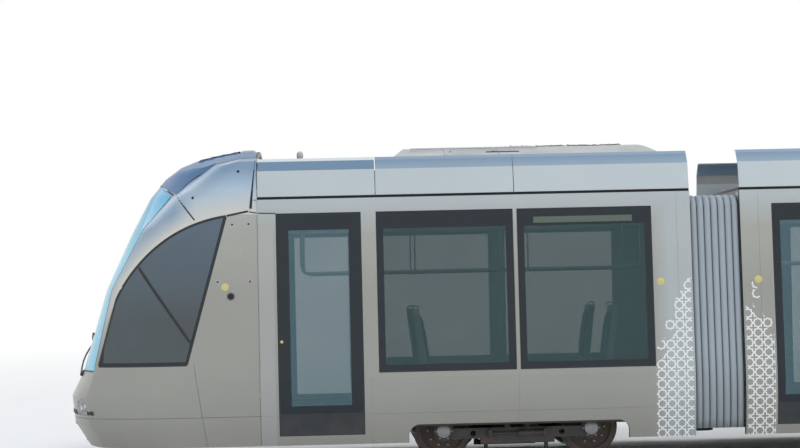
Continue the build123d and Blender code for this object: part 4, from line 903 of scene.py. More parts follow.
def rounded_shading():
    """Modifier that joins the split edges of a lofted solid and shades it smoothly up to its true corners."""
    group = bpy.data.node_groups.new("rounded_shading", "GeometryNodeTree")
    for way in ("INPUT", "OUTPUT"):
        group.interface.new_socket("Geometry", in_out=way, socket_type="NodeSocketGeometry")
    graph = Tree(group)
    source = graph.node("NodeGroupInput")
    joined = graph.node("GeometryNodeMergeByDistance", None, {0: source.outputs[0], "Distance": 0.00005})
    cleared = graph.node("GeometryNodeRemoveAttribute", None, {0: joined.outputs[0], "Name": "custom_normal"})
    faces = graph.node("GeometryNodeSetShadeSmooth", {"domain": "FACE"}, {0: cleared.outputs[0]})
    angle = graph.node("GeometryNodeInputMeshEdgeAngle")
    soft = graph.node("FunctionNodeCompare", {"operation": "LESS_THAN"},
                      {0: angle.outputs["Unsigned Angle"], 1: radians(27)})
    edges = graph.node("GeometryNodeSetShadeSmooth", {"domain": "EDGE"},
                       {0: faces.outputs[0], "Shade Smooth": soft.outputs[0]})
    graph.node("NodeGroupOutput", None, {0: edges.outputs[0]})
    return group


# Even finishes: name, colour, roughness, and where they differ metallic and the scale of the grain
PLAIN_FINISHES = (
    ("piping", (0.018, 0.022, 0.030), 0.6),
    ("rubber", (0.014, 0.015, 0.017), 0.55),
    ("black_trim", (0.020, 0.022, 0.025), 0.30),
    ("dark_hole", (0.006, 0.006, 0.007), 0.7),
    ("grey_plastic", (0.16, 0.17, 0.18), 0.45),
    ("pale_plastic", (0.55, 0.57, 0.58), 0.42),
    ("brushed_metal", (0.46, 0.47, 0.48), 0.32, 0.9, 60.0),
    ("bolt_steel", (0.30, 0.30, 0.31), 0.38, 0.85),
    ("copper", (0.40, 0.20, 0.10), 0.42, 0.8),
    ("grab_yellow", (0.75, 0.48, 0.03), 0.30),
    ("amber", (0.75, 0.28, 0.02), 0.2),
    ("red_lens", (0.35, 0.01, 0.01), 0.15),
    ("mirror_metal", (0.80, 0.81, 0.82), 0.08, 1.0),
    ("display", (0.092, 0.125, 0.100), 0.35),
)

# Finish of each kind of solid: ending of the node's name, finish, and the sections that have it
DRESSES = (
    ("walls", "silver_walls", SECTIONS), ("roof", "silver_roof", SECTIONS), ("floor", "floor_cover", SECTIONS),
    ("glazing", "saloon_glass", SECTIONS), ("interior", "furniture", SECTIONS), ("roof_gear", "roof_paint", SECTIONS),
    ("doors", "door_paint", CABS + MIDS), ("bogie", "bogie_iron", CABS + ("centre",)),
    ("nose", "silver_nose", CABS), ("nose_cap", "dome", CABS), ("cab_glass", "cab_glass", CABS),
    ("lamps", "lens", CABS),
)


def dress(nodes, name):
    """Gives some solids one finish in place of their own."""
    for node in nodes:
        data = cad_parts[node].data
        data.materials.clear()
        data.materials.append(finish(name))


def make_finishes():
    """Every finish, and the finish of each solid."""
    silver_walls()
    silver_nose()
    silver_roof()
    dome_gloss()
    saloon_glass()
    cab_glass()
    door_paint()
    for name, shade in (("bellows_cloth", 0.0), ("bellows_flank", 0.27), ("bellows_valley", 0.68)):
        bellows_cloth(name, shade)
    rolled_iron()
    wheel_steel()
    floor_cover()
    roof_paint()
    seat_cloth()
    furniture()
    pan_metal()
    for row in PLAIN_FINISHES:
        plain(*row)
    plain("yellow_paint", chosen("yellow"), 0.35)
    lens = plain("lens", (0.75, 0.78, 0.80), 0.04)
    lens.feed(lens.shader, "Alpha", 0.22 + lens.noise(9.0) * 0.06)
    lit("lamp_glow", (0.90, 0.93, 1.0), 0.8)
    lit("ceiling_light", (0.95, 0.97, 1.0), 1.2)
    for part, name, owners in DRESSES:
        dress([f"{owner}_{part}" for owner in owners], name)
    shading = rounded_shading()
    for part in ("nose", "nose_cap", "cab_glass"):
        for s in CABS:
            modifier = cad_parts[f"{s}_{part}"].modifiers.new("rounded", "NODES")
            modifier.node_group = shading
    for s in CABS + ("centre",):
        for number in "12":
            dress([f"{s}_wheelset_{number}"], f"wheel_steel_{s}_{number}")
    dress([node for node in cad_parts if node.startswith("gangway")], "bellows_cloth")
    dress(["pantograph_" + part for part in ("lower_arm", "upper_arm", "head", "thrust_rod")], "pan_metal")


# Stage

def make_stage():
    """Pale floor, white surround, soft light and the camera."""
    made = Finish("studio_floor", (0.80, 0.80, 0.80), 0.75)
    x, y, z = made.place()
    grain = made.noise(0.7, 3.0)
    made.colour(made.mix(grain * 0.25, (0.82, 0.82, 0.82), (0.76, 0.765, 0.77)))
    output = made.tree.nodes["Material Output"]
    white = made.node("ShaderNodeEmission", None, {"Color": (1.0, 1.0, 1.0, 1.0), "Strength": 1.0})
    far = ((x * x + y * y) ** 0.5).ramp(24.0, 60.0)
    blend = made.node("ShaderNodeMixShader", None,
                      {0: far, 1: made.shader.outputs[0], 2: white.outputs[0]})
    made.feed(output, "Surface", blend.outputs[0])
    floor = Form().use("studio_floor")
    reach = 150.0
    steps = 12
    rows = [[(reach * (2 * i / steps - 1), reach * (2 * j / steps - 1), 0.0) for j in range(steps + 1)]
            for i in range(steps + 1)]
    floor.skin(rows, round_ring=False, capped=False)
    bmesh.ops.recalc_face_normals(floor.mesh, faces=floor.mesh.faces)
    mesh = bpy.data.meshes.new("studio_floor")
    floor.mesh.to_mesh(mesh)
    mesh.materials.append(finish("studio_floor"))
    ground = bpy.data.objects.new("studio_floor", mesh)
    bpy.context.scene.collection.objects.link(ground)

    world = bpy.data.worlds.new("studio")
    world.use_nodes = True
    bpy.context.scene.world = world
    sky = Tree(world.node_tree)
    light = sky.tree.nodes["Background"]
    sky.feed(light, "Color", (0.93, 0.965, 1.0))
    sky.feed(light, "Strength", 0.78)
    white = sky.node("ShaderNodeBackground", None, {"Color": (1.0, 1.0, 1.0)})
    rays = sky.node("ShaderNodeLightPath")
    direct = Term(sky, rays.outputs["Is Camera Ray"])
    for kind in ("Is Glossy Ray", "Is Transmission Ray"):
        direct = direct.most(Term(sky, rays.outputs[kind]))
    pick = sky.node("ShaderNodeMixShader", None, {0: direct, 1: light.outputs[0], 2: white.outputs[0]})
    sky.feed(sky.tree.nodes["World Output"], "Surface", pick.outputs[0])

    for name, way, strength, spread in (
            ("key", (0.35, -0.75, -0.85), 0.95, 18), ("fill", (-0.5, 0.8, -0.7), 0.35, 40)):
        data = bpy.data.lights.new(name, "SUN")
        data.energy = strength
        data.angle = radians(spread)
        lamp = bpy.data.objects.new(name, data)
        lamp.rotation_mode = "QUATERNION"
        lamp.rotation_quaternion = Vector(way).to_track_quat("-Z", "Y")
        bpy.context.scene.collection.objects.link(lamp)

    yaw, pitch, roll = -0.0317, 0.0386, -0.0228
    forward = Vector((sin(yaw) * cos(pitch), -cos(yaw) * cos(pitch), sin(pitch)))
    level = forward.cross(Vector((0, 0, 1))).normalized()
    lift = level.cross(forward)
    right = level * cos(roll) + lift * sin(roll)
    up = lift * cos(roll) - level * sin(roll)
    data = bpy.data.cameras.new("camera")
    data.lens = sizes().lens
    data.sensor_width = 36.0
    data.clip_end = 400.0
    camera = bpy.data.objects.new("camera", data)
    camera.matrix_world = Matrix.Translation((13.2203, 21.5559, 1.775)) @ \
        Matrix((right, up, -forward)).transposed().to_4x4()
    bpy.context.scene.collection.objects.link(camera)
    bpy.context.scene.camera = camera
    bpy.context.scene.view_settings.view_transform = "Standard"


# Gangways

def arch(depth, corner=0.13, steps=8, foot=0.30):
    """Outline of the gangway at a depth under the body's skin, from its left foot over the top to the right."""
    half = []
    top = CANT - depth
    for i in range(7):
        z = foot + (WAIST - foot) * i / 6
        half.append((side_y(z) - depth, z))
    for i in range(1, 10):
        z = WAIST + (top - corner - WAIST) * i / 9
        half.append((side_y(z) - depth, z))
    edge = side_y(top - corner) - depth
    for i in range(1, steps + 1):
        angle = pi / 2 * i / steps
        half.append((edge - corner + corner * cos(angle), top - corner + corner * sin(angle)))
    for i in range(1, 5):
        half.append(((edge - corner) * (1 - i / 4), top))
    return half + [(-y, z) for y, z in half[-2::-1]]


def make_bellows(pivot, node, turned):
    """Folded bellows between two end frames."""
    count = sizes().folds
    deep = sizes().fold_depth
    start, end = pivot - 0.262, pivot + 0.262
    pitch = (end - start) / count
    steps = 9
    form = Form()
    shares = [0.5 - 0.5 * cos(pi * k / steps) for k in range(steps + 1)]
    for fold in range(count):
        rings = []
        for share in shares:
            rise = sqrt(max(0.0, 1 - (2 * share - 1) ** 2))
            rings.append([(start + (fold + share) * pitch, y, z) for y, z in arch(0.042 + deep * (1 - rise))])
        for k in range(steps):
            depth = min(k, steps - 1 - k)
            form.use(("bellows_valley", "bellows_flank")[depth] if depth < 2 else "bellows_cloth")
            form.skin(rings[k:k + 2], round_ring=False, capped=False)
    bmesh.ops.remove_doubles(form.mesh, verts=form.mesh.verts, dist=0.0002)
    inner = []
    for k in range(count * 4 + 1):
        depth = 0.122 - 0.018 * abs(((k / 4) % 1.0) * 2 - 1)
        inner.append([(start + k * pitch / 4, y, z) for y, z in arch(depth, 0.10)])
    form.use("grey_plastic").skin(inner, round_ring=False, capped=False)
    skirt, lining = arch(0.042 + deep), arch(0.104, 0.10)
    form.use("rubber")
    for station in (start, end):
        form.skin([[(station, y, z) for y, z in line] for line in (skirt, lining)], round_ring=False, capped=False)
    for foot in (0, -1):
        form.skin([[(start + (end - start) * k / 14, *line[foot]) for k in range(15)] for line in (skirt, lining)],
                  round_ring=False, capped=False)
    piece = form.place(node.replace("gangway", "bellows"), None, "bellows_rubber", turned=turned, smooth=75)
    shell = piece.modifiers.new("cloth", "SOLIDIFY")
    shell.thickness = 0.0025
    shell.offset = -1
    apply_modifiers(piece)
    way = -1 if turned else 1
    way * (pivot - 0.25)
    way * (pivot + 0.25)
    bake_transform(piece)
    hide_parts(node)


def apply_modifiers(piece):
    """Bakes the modifiers of a piece into its mesh."""
    bpy.context.view_layer.update()
    final = bpy.data.meshes.new_from_object(piece.evaluated_get(bpy.context.evaluated_depsgraph_get()))
    piece.modifiers.clear()
    piece.data = final


def make_gangways():
    """The bellows of the two inner and the two outer gangways."""
    for pivot, place, half_pairs in (
            (INNER_PIVOT, "inner", (("centre", "mid_front"), ("centre", "mid_rear"))),
            (OUTER_PIVOT, "outer", (("mid_front", "front"), ("mid_rear", "rear")))):
        for (body_a, body_b), end, turned in zip(half_pairs, CABS, (False, True)):
            make_bellows(pivot, f"gangway_{place}_{end}", turned)


# Body sides

def on_side(form, surface, x, z, side, profile, sides=20):
    """Round fitting on the body side: profile rows are height over the surface, and radius."""
    point, normal = surface.side(x, z, side)
    form.lathe(point, normal, profile, sides)


def add_disc(form, surface, x, height, side):
    """Yellow disc on the body side, at a height over the rail."""
    disc = sizes().disc / 2
    on_side(form.use("yellow_paint"), surface, x, RAIL + height, side,
            [(-0.004, disc), (0.0006, disc), (0.0010, disc - 0.001)], 40)


def make_side_fittings():
    """Yellow discs, and the fixings and sockets of the cab's sides."""
    front = Surface("front_walls", "front_nose", "front_cab_glass")
    mid = Surface("mid_front_walls")
    marks = Form()
    for side in SIDES:
        for reach, height in ((0.270, 2.567), (0.095, 2.569), (0.434, 1.958), (0.088, 1.956)):
            on_side(marks.use("brushed_metal"), front, CAB_LINE + reach, RAIL + height, side,
                    [(-0.004, 0.019), (0.0006, 0.019), (0.0010, 0.016)])
            on_side(marks.use("dark_hole"), front, CAB_LINE + reach, RAIL + height, side,
                    [(-0.004, 0.012), (0.0013, 0.012), (0.0015, 0.009)])
        on_side(marks.use("brushed_metal"), front, CAB_LINE + 0.179, RAIL + 2.291, side,
                [(-0.004, 0.007), (0.0006, 0.007), (0.001, 0.005)])
        add_disc(marks, front, CAB_LINE + 0.356, 1.901, side)
        on_side(marks.use("grey_plastic"), front, CAB_LINE + 0.296, RAIL + 1.800, side,
                [(-0.004, 0.045), (0.0020, 0.045), (0.0035, 0.040), (0.0020, 0.036), (0.0018, 0.012)], 36)
        on_side(marks.use("dark_hole"), front, CAB_LINE + 0.296, RAIL + 1.800, side,
                [(-0.001, 0.034), (0.0024, 0.034), (0.0030, 0.028)], 30)
        add_disc(marks, front, CAB_LINE - 4.302, 1.858, side)
        for reach, height in ((0.20, 3.14), (0.69, 2.865)):
            on_side(marks.use("dark_hole"), front, CAB_LINE + reach, RAIL + height, side,
                    [(-0.006, 0.016), (0.0010, 0.016), (0.0016, 0.012)])
    marks.pair("side_marks", CABS, "silver_paint")
    plates = Form()
    for side in SIDES:
        for station in (MID_START + 0.17, MID_END - 0.17):
            add_disc(plates, mid, station, 1.858, side)
    plates.pair("side_marks", MIDS, "silver_paint")


def seal(form, surface, path, ray, inner, outer, height=0.0015):
    """Rubber strip over a joint: its two edges stand on the surface at distances left and right of a flat path."""
    path = [Vector(point) for point in path]
    rings = []
    for i, point in enumerate(path):
        run = (path[min(i + 1, len(path) - 1)] - path[max(i - 1, 0)]).normalized()
        left = Vector((-run.y, run.x))
        (a, up_a), (b, up_b) = (surface.hit(*ray(point + left * reach)) for reach in (inner, outer))
        middle, up = (a + b) / 2, (up_a + up_b).normalized()
        rings.append([a - up_a * 0.003, a + up_a * height * 0.6, middle + up * height, b + up_b * height * 0.6,
                      b - up_b * 0.003])
    form.skin(rings)


def along(points, step=0.05):
    """Points every step along straight runs."""
    rows = []
    for near, far in zip(points[:-1], points[1:]):
        near, far = Vector(near), Vector(far)
        count = max(1, round((far - near).length / step))
        rows += [near.lerp(far, k / count) for k in range(count)]
    return rows + [Vector(points[-1])]


def arc_through(a, b, c, steps=28):
    """Points of the circle arc through three points of a plane."""
    centre, radius = circle_through(a, b, c)
    first, middle, last = (Vector(point) - centre for point in (a, b, c))
    turn = first.angle_signed(last)
    if (first.angle_signed(middle) > 0) != (turn > 0):
        turn -= tau if turn > 0 else -tau
    return [centre + Matrix.Rotation(-turn * k / steps, 2) @ first for k in range(steps + 1)]


# Edge of the screen in front view: height over the rail and distance from the middle
SCREEN_EDGE = ((1.030, 0.960), (1.918, 0.925), (2.560, 0.880), (2.900, 0.840))

# Rubbers of the cab's side, by reach from the cab line and height over the rail: two ends, step of the points,
# distances of the edges to the right and to the left, and height over the skin
SIDE_SEALS = (
    ((0.327, 2.662), (0.098, 2.706), 0.05, 0.011, 0.011, 0.0015),
    ((0.090, 2.700), (0.004, 2.684), 0.04, 0.006, 0.006, 0.0015),
    ((-0.008, 2.682), (-0.195, 2.676), 0.06, 0.006, 0.006, 0.0015),
    ((0.002, 2.824), (0.066, 2.824), 0.03, 0.004, 0.004, 0.0015),
    ((1.285, 2.132), (0.735, 1.320), 0.06, 0.014, 0.014, 0.0060),
    ((0.885, 2.905), (0.672, 2.625), 0.04, 0.008, 0.008, 0.0010),
    ((0.000, 0.215), (0.000, 2.650), 0.08, 0.004, 0.009, 0.0008),
    ((0.000, 2.870), (0.000, 3.225), 0.08, 0.004, 0.009, 0.0008),
)


def from_front(point):
    """Ray for a point of the front view: distance from the middle and height over the rail."""
    return (NOSE_TIP + RAY_AHEAD, point.x, RAIL + point.y), (-1, 0, 0)


def from_side(side):
    """Rays for points of the side view: reach from the cab line and height over the rail."""
    return lambda point: ((CAB_LINE + point.x, side * RAY_SIDE, RAIL + point.y), (0, -side, 0))


def from_wall(side):
    """Rays for points of the body side: station and height."""
    return lambda point: ((point.x, side * RAY_SIDE, point.y), (0, -side, 0))


def from_top(station=0.0):
    """Rays for points seen from above: reach from a station and distance from the middle."""
    return lambda point: ((station + point.x, point.y, RAY_TOP), (0, 0, -1))


def make_nose_fittings():
    """Seals of the screen, side glass and dome, wiper, fins and lip of the dome, bumper and blank sign, and dark pieces
    of painted shade: in the groove at the cab line, between the fins and behind the dome.
    """
    skin = Surface("front_nose", "front_cab_glass", "front_nose_cap", "front_walls", "front_roof")
    wide = sizes().seal / 2
    form = Form().use("rubber")
    seal(form, skin, arc_through((0.856, 2.912), (0.0, 3.066), (-0.856, 2.912)), from_front, -wide, wide)
    seal(form, skin, along([(-0.955, 1.026), (0.955, 1.026)], 0.08), from_front, -wide, wide)
    for side in SIDES:
        edge = [(side * (y + 0.002), z) for z, y in SCREEN_EDGE]
        seal(form, skin, along(edge, 0.05), from_front, -wide, wide)
        look = from_side(side)
        arch_line = arc_through(*WINDOW_ARCH) + along([(1.552, 1.750), (1.738, 1.090)], 0.06)
        seal(form, skin, arch_line, look, -0.008, 0.012)
        for near, far, step, right, left, height in SIDE_SEALS:
            seal(form, skin, along([near, far], step), look, -right, left, height)
        for near, far in (((0.333, 2.650), (0.771, 1.086)), ((0.775, 1.078), (1.733, 1.078))):
            seal(form, skin, along([near, far], 0.08), look, -wide, wide)
        # Painted shade: dark rubber laid in the wedge-shaped groove at the cab line, where its inside would lie in
        # shade
        wedge = [(0.018, 3.268, 0.002), (0.030, 3.15, 0.005), (0.052, 2.92, 0.011), (0.070, 2.735, 0.016)]
        for (x0, z0, w0), (x1, z1, w1) in zip(wedge[:-1], wedge[1:]):
            seal(form, skin, [(x0, z0), (x1, z1)], look, -(w0 + w1) / 2, (w0 + w1) / 2, 0.0008)
    form.pair("nose_seals", CABS, "door_black")

    rims = Form()
    above = from_top(CAB_LINE)
    for side in SIDES:
        reaches = [0.012 + (0.878 - 0.012) * k / 30 for k in range(31)]
        path = [(reach, side * dome_half(reach)) for reach in reaches]
        seal(rims.use("silver_nose"), skin, along([(0.850, side * 0.987), (0.012, side * 0.987)], 0.04), above,
             -0.008, 0.008, 0.0006)
        seal(rims.use("rubber"), skin, path, above, -0.009, 0.009, 0.0020)
    seal(rims, skin, along([(0.010, -0.978), (0.010, 0.978)], 0.06), above, -0.006, 0.006)
    rims.pair("dome_seals", CABS, "door_black")

    # Painted shade: a black sheet across the back of the dome, behind the open seam at the cab line
    back = Form().use("black_trim")
    crown = [(y, skin.top(CAB_LINE + 0.018, y)[0].z - 0.014) for y in (1.12 * k / 10 for k in range(-10, 11))]
    back.prism(crown + [(1.12, DECK), (-1.12, DECK)], 0, CAB_LINE + 0.013, CAB_LINE + 0.021)
    back.pair("dome_back", CABS, "door_black")

    wiper = Form()
    hub, normal = skin.front(0.42, RAIL + 0.99)
    wiper.use("black_trim").lathe(hub, normal, [(-0.01, 0.035), (0.022, 0.035), (0.030, 0.026), (0.034, 0.010)])
    arm = []
    for share in (0.0, 0.15, 0.35, 0.55, 0.75, 0.92):
        point, normal = skin.front(0.42 - 0.66 * share, RAIL + 0.99 + 0.34 * share)
        arm.append(point + normal * (0.026 + 0.012 * sin(pi * share)))
    wiper.tube(arm, 0.010, 8)
    blade, frame_bar = [], []
    for k in range(13):
        share = k / 12 - 0.5
        point, normal = skin.front(-0.16 + sizes().wiper * share * 0.97, RAIL + 1.31 + 0.24 * share)
        blade.append(point + normal * 0.006)
        frame_bar.append(point + normal * (0.017 + 0.006 * cos(pi * share)))
    wiper.use("rubber").tube(blade, 0.005, 6)
    wiper.use("black_trim").tube(frame_bar, 0.0065, 6)
    wiper.pair("wiper", CABS, "door_black")

    fins = Form()
    notches = (0.600, 0.482, 0.360, 0.228)
    starts = (0.690,) + notches
    ends = notches + (0.205,)
    for side in SIDES:
        for start, end in zip(starts, ends):
            crest, foot = [], []
            for reach, lean in ((start - 0.004, 0.020), ((start + end) / 2, 0.0), (end + 0.004, -0.020)):
                ground, up = skin.top(CAB_LINE + reach, side * 0.40)
                crest.append((ground.x - lean, ground.z + 0.016))
                foot.append((ground.x, ground.z - 0.012))
            outline = crest + foot[::-1]
            fins.use("dome").prism(outline, 1, side * 0.385, side * 0.425)
        # Painted shade: a dark strip along the fins, so that the gaps between them read dark
        spine = []
        for k in range(9):
            ground, up = skin.top(CAB_LINE + 0.66 - 0.45 * k / 8, side * 0.36)
            spine.append(ground + Vector((0, 0, 0.008)))
        fins.use("dark_hole").skin([[point + Vector(offset) for offset in
                                     ((0, -0.012, -0.02), (0, 0.012, -0.02), (0, 0.012, 0.006), (0, -0.012, 0.006))]
                                    for point in spine])
    fins.pair("dome_fins", CABS, "silver_paint", bevel=0.0015)

    lip = Form().use("pale_plastic")
    rings = []
    for reach, rise in ((0.213, -0.012), (0.196, 0.018), (0.178, 0.028), (0.074, 0.030), (0.054, 0.020),
                        (0.044, -0.012)):
        ring = []
        for k in range(9):
            y = -0.44 + 0.88 * k / 8
            ground, up = skin.top(CAB_LINE + reach, y)
            ring.append(ground + Vector((0, 0, rise * (1 - 0.25 * abs(y) / 0.44))))
        foot = [Vector((point.x, point.y, point.z - 0.012 - max(rise, 0.0))) for point in ring[::-1]]
        rings.append(ring + foot)
    lip.skin(rings)
    lip.pair("dome_lip", CABS, "silver_paint", bevel=0.003)

    bumper = Form().use("rubber")
    seal(bumper, skin, along([(-0.98, 0.578), (0.98, 0.578)], 0.07), from_front, -0.022, 0.022, 0.010)
    for y in (-0.37, 0.37):
        for height in (0.285, 0.470):
            point, normal = skin.front(y, height)
            bumper.use("bolt_steel").lathe(point, normal, [(-0.004, 0.013), (0.004, 0.013), (0.006, 0.009)], 12)
    bumper.pair("bumper", CABS, "door_black")

    sign = Form()
    faces = []
    for k in range(9):
        y = -0.52 + 1.04 * k / 8
        low, high = (skin.front(y, height)[0] for height in (2.64, 2.82))
        faces.append([low - Vector((0.070, 0, 0)), high - Vector((0.070, 0, 0)),
                      high - Vector((0.150, 0, 0)), low - Vector((0.230, 0, 0))])
    sign.use("black_trim").skin(faces)
    thick = Vector((0.004, 0, 0))
    inset = []
    for ring in faces:
        low, high = (ring[0].lerp(ring[1], share) for share in (0.12, 0.88))
        inset.append([low + thick, high + thick, high - thick, low - thick])
    sign.use("display").skin(inset)
    sign.pair("front_sign", CABS, "interior_trim")


def make_lamps():
    """Reflectors, bulbs and dark trays behind the headlamp glasses."""
    glass = Surface("front_lamps")
    form = Form()
    for side in SIDES:
        y0, z0 = side * 0.76, RAIL + 0.640
        slant = radians(12) * side
        try:
            glass.front(y0 + 0.135 * cos(slant), z0 + 0.135 * sin(slant))
        except RuntimeError:
            slant = -slant
        form.use("dark_hole")
        rings = []
        for depth in (0.046, 0.054):
            ring = []
            for k in range(32):
                angle = tau * k / 32
                along_slot = (0.082 if cos(angle) > 0 else -0.082) + 0.062 * cos(angle)
                rise = 0.062 * sin(angle)
                y = y0 + along_slot * cos(slant) - rise * sin(slant)
                z = z0 + along_slot * sin(slant) + rise * cos(slant)
                ring.append(glass.front(y, z)[0] - Vector((depth, 0, 0)))
            rings.append(ring)
        form.skin(rings)
        for step in (0.062, -0.062):
            point, normal = glass.front(y0 + step * cos(slant), z0 + step * sin(slant))
            form.use("mirror_metal").lathe(point, Vector((1, 0, 0)).lerp(normal, 0.4), [
                (-0.044, 0.010), (-0.038, 0.028), (-0.026, 0.041), (-0.0145, 0.047), (-0.0145, 0.050),
                (-0.045, 0.050), (-0.048, 0.010)], 32)
            form.use("lamp_glow").lathe(point, (1, 0, 0), [(-0.045, 0.009), (-0.030, 0.010), (-0.024, 0.005)], 16)
        point, normal = glass.front(y0, z0)
        form.use("red_lens").lathe(point, (1, 0, 0), [(-0.046, 0.010), (-0.020, 0.010), (-0.015, 0.005)], 16)
        for step in (0.122, -0.122):
            point, normal = glass.front(y0 + step * cos(slant), z0 + step * sin(slant))
            form.use("amber").lathe(point, (1, 0, 0), [(-0.046, 0.010), (-0.022, 0.010), (-0.017, 0.005)], 16)
    form.pair("lamp_bowls", CABS, "lamp_lens")


# Seats

def swell(length, width, crown, count=24, steps=20, limit=0.012):
    """Two sheets sewn together at their rim and blown up by a cloth simulation: rows of points, top and underside."""
    shares = [i / (count / 2) - 1 for i in range(count + 1)]
    sheets = [[[Vector((u * length / 2 * (1 - 0.03 * v * v), v * width / 2 * (1 - 0.03 * u * u),
                        rise * sqrt((1 - u ** 4) * (1 - v ** 4)))) for v in shares] for u in shares]
              for rise in (crown, 0.0)]
    row = count + 1
    points = [point for sheet in sheets for line in sheet for point in line]

    def at(layer, i, j):
        on_rim = i in (0, count) or j in (0, count)
        return i * row + j + (row * row if layer and not on_rim else 0)

    faces = []
    for layer in (0, 1):
        for i in range(count):
            for j in range(count):
                face = (at(layer, i, j), at(layer, i + 1, j), at(layer, i + 1, j + 1), at(layer, i, j + 1))
                faces.append(face if layer == 0 else face[::-1])
    mesh = bpy.data.meshes.new("pad_sheets")
    mesh.from_pydata(points, [], faces)
    pad = bpy.data.objects.new("pad_sheets", mesh)
    scene = bpy.context.scene
    scene.collection.objects.link(pad)
    cloth = pad.modifiers.new("cloth", "CLOTH")
    cloth.settings.quality = 5
    cloth.settings.mass = 0.2
    cloth.settings.use_pressure = True
    cloth.settings.uniform_pressure_force = 4.0
    cloth.settings.effector_weights.gravity = 0.0
    for step in range(1, steps + 1):
        scene.frame_set(step)
    blown = pad.evaluated_get(bpy.context.evaluated_depsgraph_get()).data
    moved = [vertex.co.copy() for vertex in blown.vertices]
    scene.frame_set(1)
    bpy.data.objects.remove(pad)
    bpy.data.meshes.remove(mesh)
    result = []
    for layer, sheet in enumerate(sheets):
        rows = []
        for i in range(row):
            line = []
            for j in range(row):
                shift = moved[at(layer, i, j)] - sheet[i][j]
                if shift.length > limit:
                    shift *= limit / shift.length
                point = sheet[i][j] + shift
                line.append(Vector((point.x, point.y, max(point.z, 0.0) if layer == 0 else 0.0)))
            rows.append(line)
        result.append(rows)
    return result


def add_pad(form, sheets, put, channels):
    """One pad set down by put(along, across, up), with sewn channels and piping round its rim."""
    top, base = sheets
    rows = []
    for line in top:
        row = []
        for point in line:
            sunk = sum(0.008 * exp(-((point[axis] - place) / 0.011) ** 2) for axis, place in channels)
            row.append(put(point.x, point.y, max(point.z - sunk, min(point.z, 0.003))))
        rows.append(row)
    form.use("seat_cloth").skin(rows, round_ring=False, capped=False)
    form.skin([[put(point.x, point.y, -0.002) for point in line] for line in base], round_ring=False, capped=False)
    loop = rows[0] + [row[-1] for row in rows[1:-1]] + rows[-1][::-1] + \
        [row[0] for row in rows[-2:0:-1]]
    form.use("piping").tube(loop[::2], 0.0042, 6, closed=True)


# Grab handle of a seat back: distance along the way the seat faces, and height over the shell
HANDLE = ((-0.262, 0.540), (-0.300, 0.630), (-0.302, 0.705), (-0.280, 0.730), (-0.235, 0.728), (-0.222, 0.690))


# Seat backs lean by one slope up to the bend and by another over it
BEND, LOWER_LEAN, UPPER_LEAN = 0.21, 0.0857, 0.147


def make_seats():
    """Crowned seat and back pads with sewn channels on every shell, and a grab handle on each back."""
    seat_pad, back_pad = swell(0.338, 0.396, 0.026), swell(0.560, 0.380, 0.024)
    for section, rows in SEATS.items():
        form, handles = Form(), Form().use("grab_yellow")
        for station, top, way, places in rows:
            for y0 in sorted({side * place for side in SIDES for place in places}):
                def on_seat(ahead, across, up):
                    return Vector((station + way * (0.020 + ahead), y0 + across, top + up))

                def on_back(rise, across, up):
                    height = 0.355 + rise
                    below = height < BEND
                    lean = -0.155 - LOWER_LEAN * height if below else -0.173 - UPPER_LEAN * (height - BEND)
                    tilt = LOWER_LEAN if below else UPPER_LEAN
                    return Vector((station + way * (lean + up), y0 + across, top + height + up * tilt))

                add_pad(form, seat_pad, on_seat, ((0, -0.056), (0, 0.056)))
                add_pad(form, back_pad, on_back, ((1, -0.112), (1, 0.112), (0, 0.140)))
                if abs(y0) > 0.0:
                    aisle = y0 - (0.200 if y0 > 0 else -0.200)
                    handles.tube([(station + way * dx, aisle, top + dz) for dx, dz in HANDLE], 0.009, 8)
        bmesh.ops.remove_doubles(form.mesh, verts=form.mesh.verts, dist=0.0004)
        for body, turned in zip(ENDS[section], (False, True)):
            pads = form.place(f"{body}_seat_pads", body, "interior_trim", turned=turned, smooth=60)
            handles.place(f"{body}_seat_handles", body, "interior_trim", turned=turned)


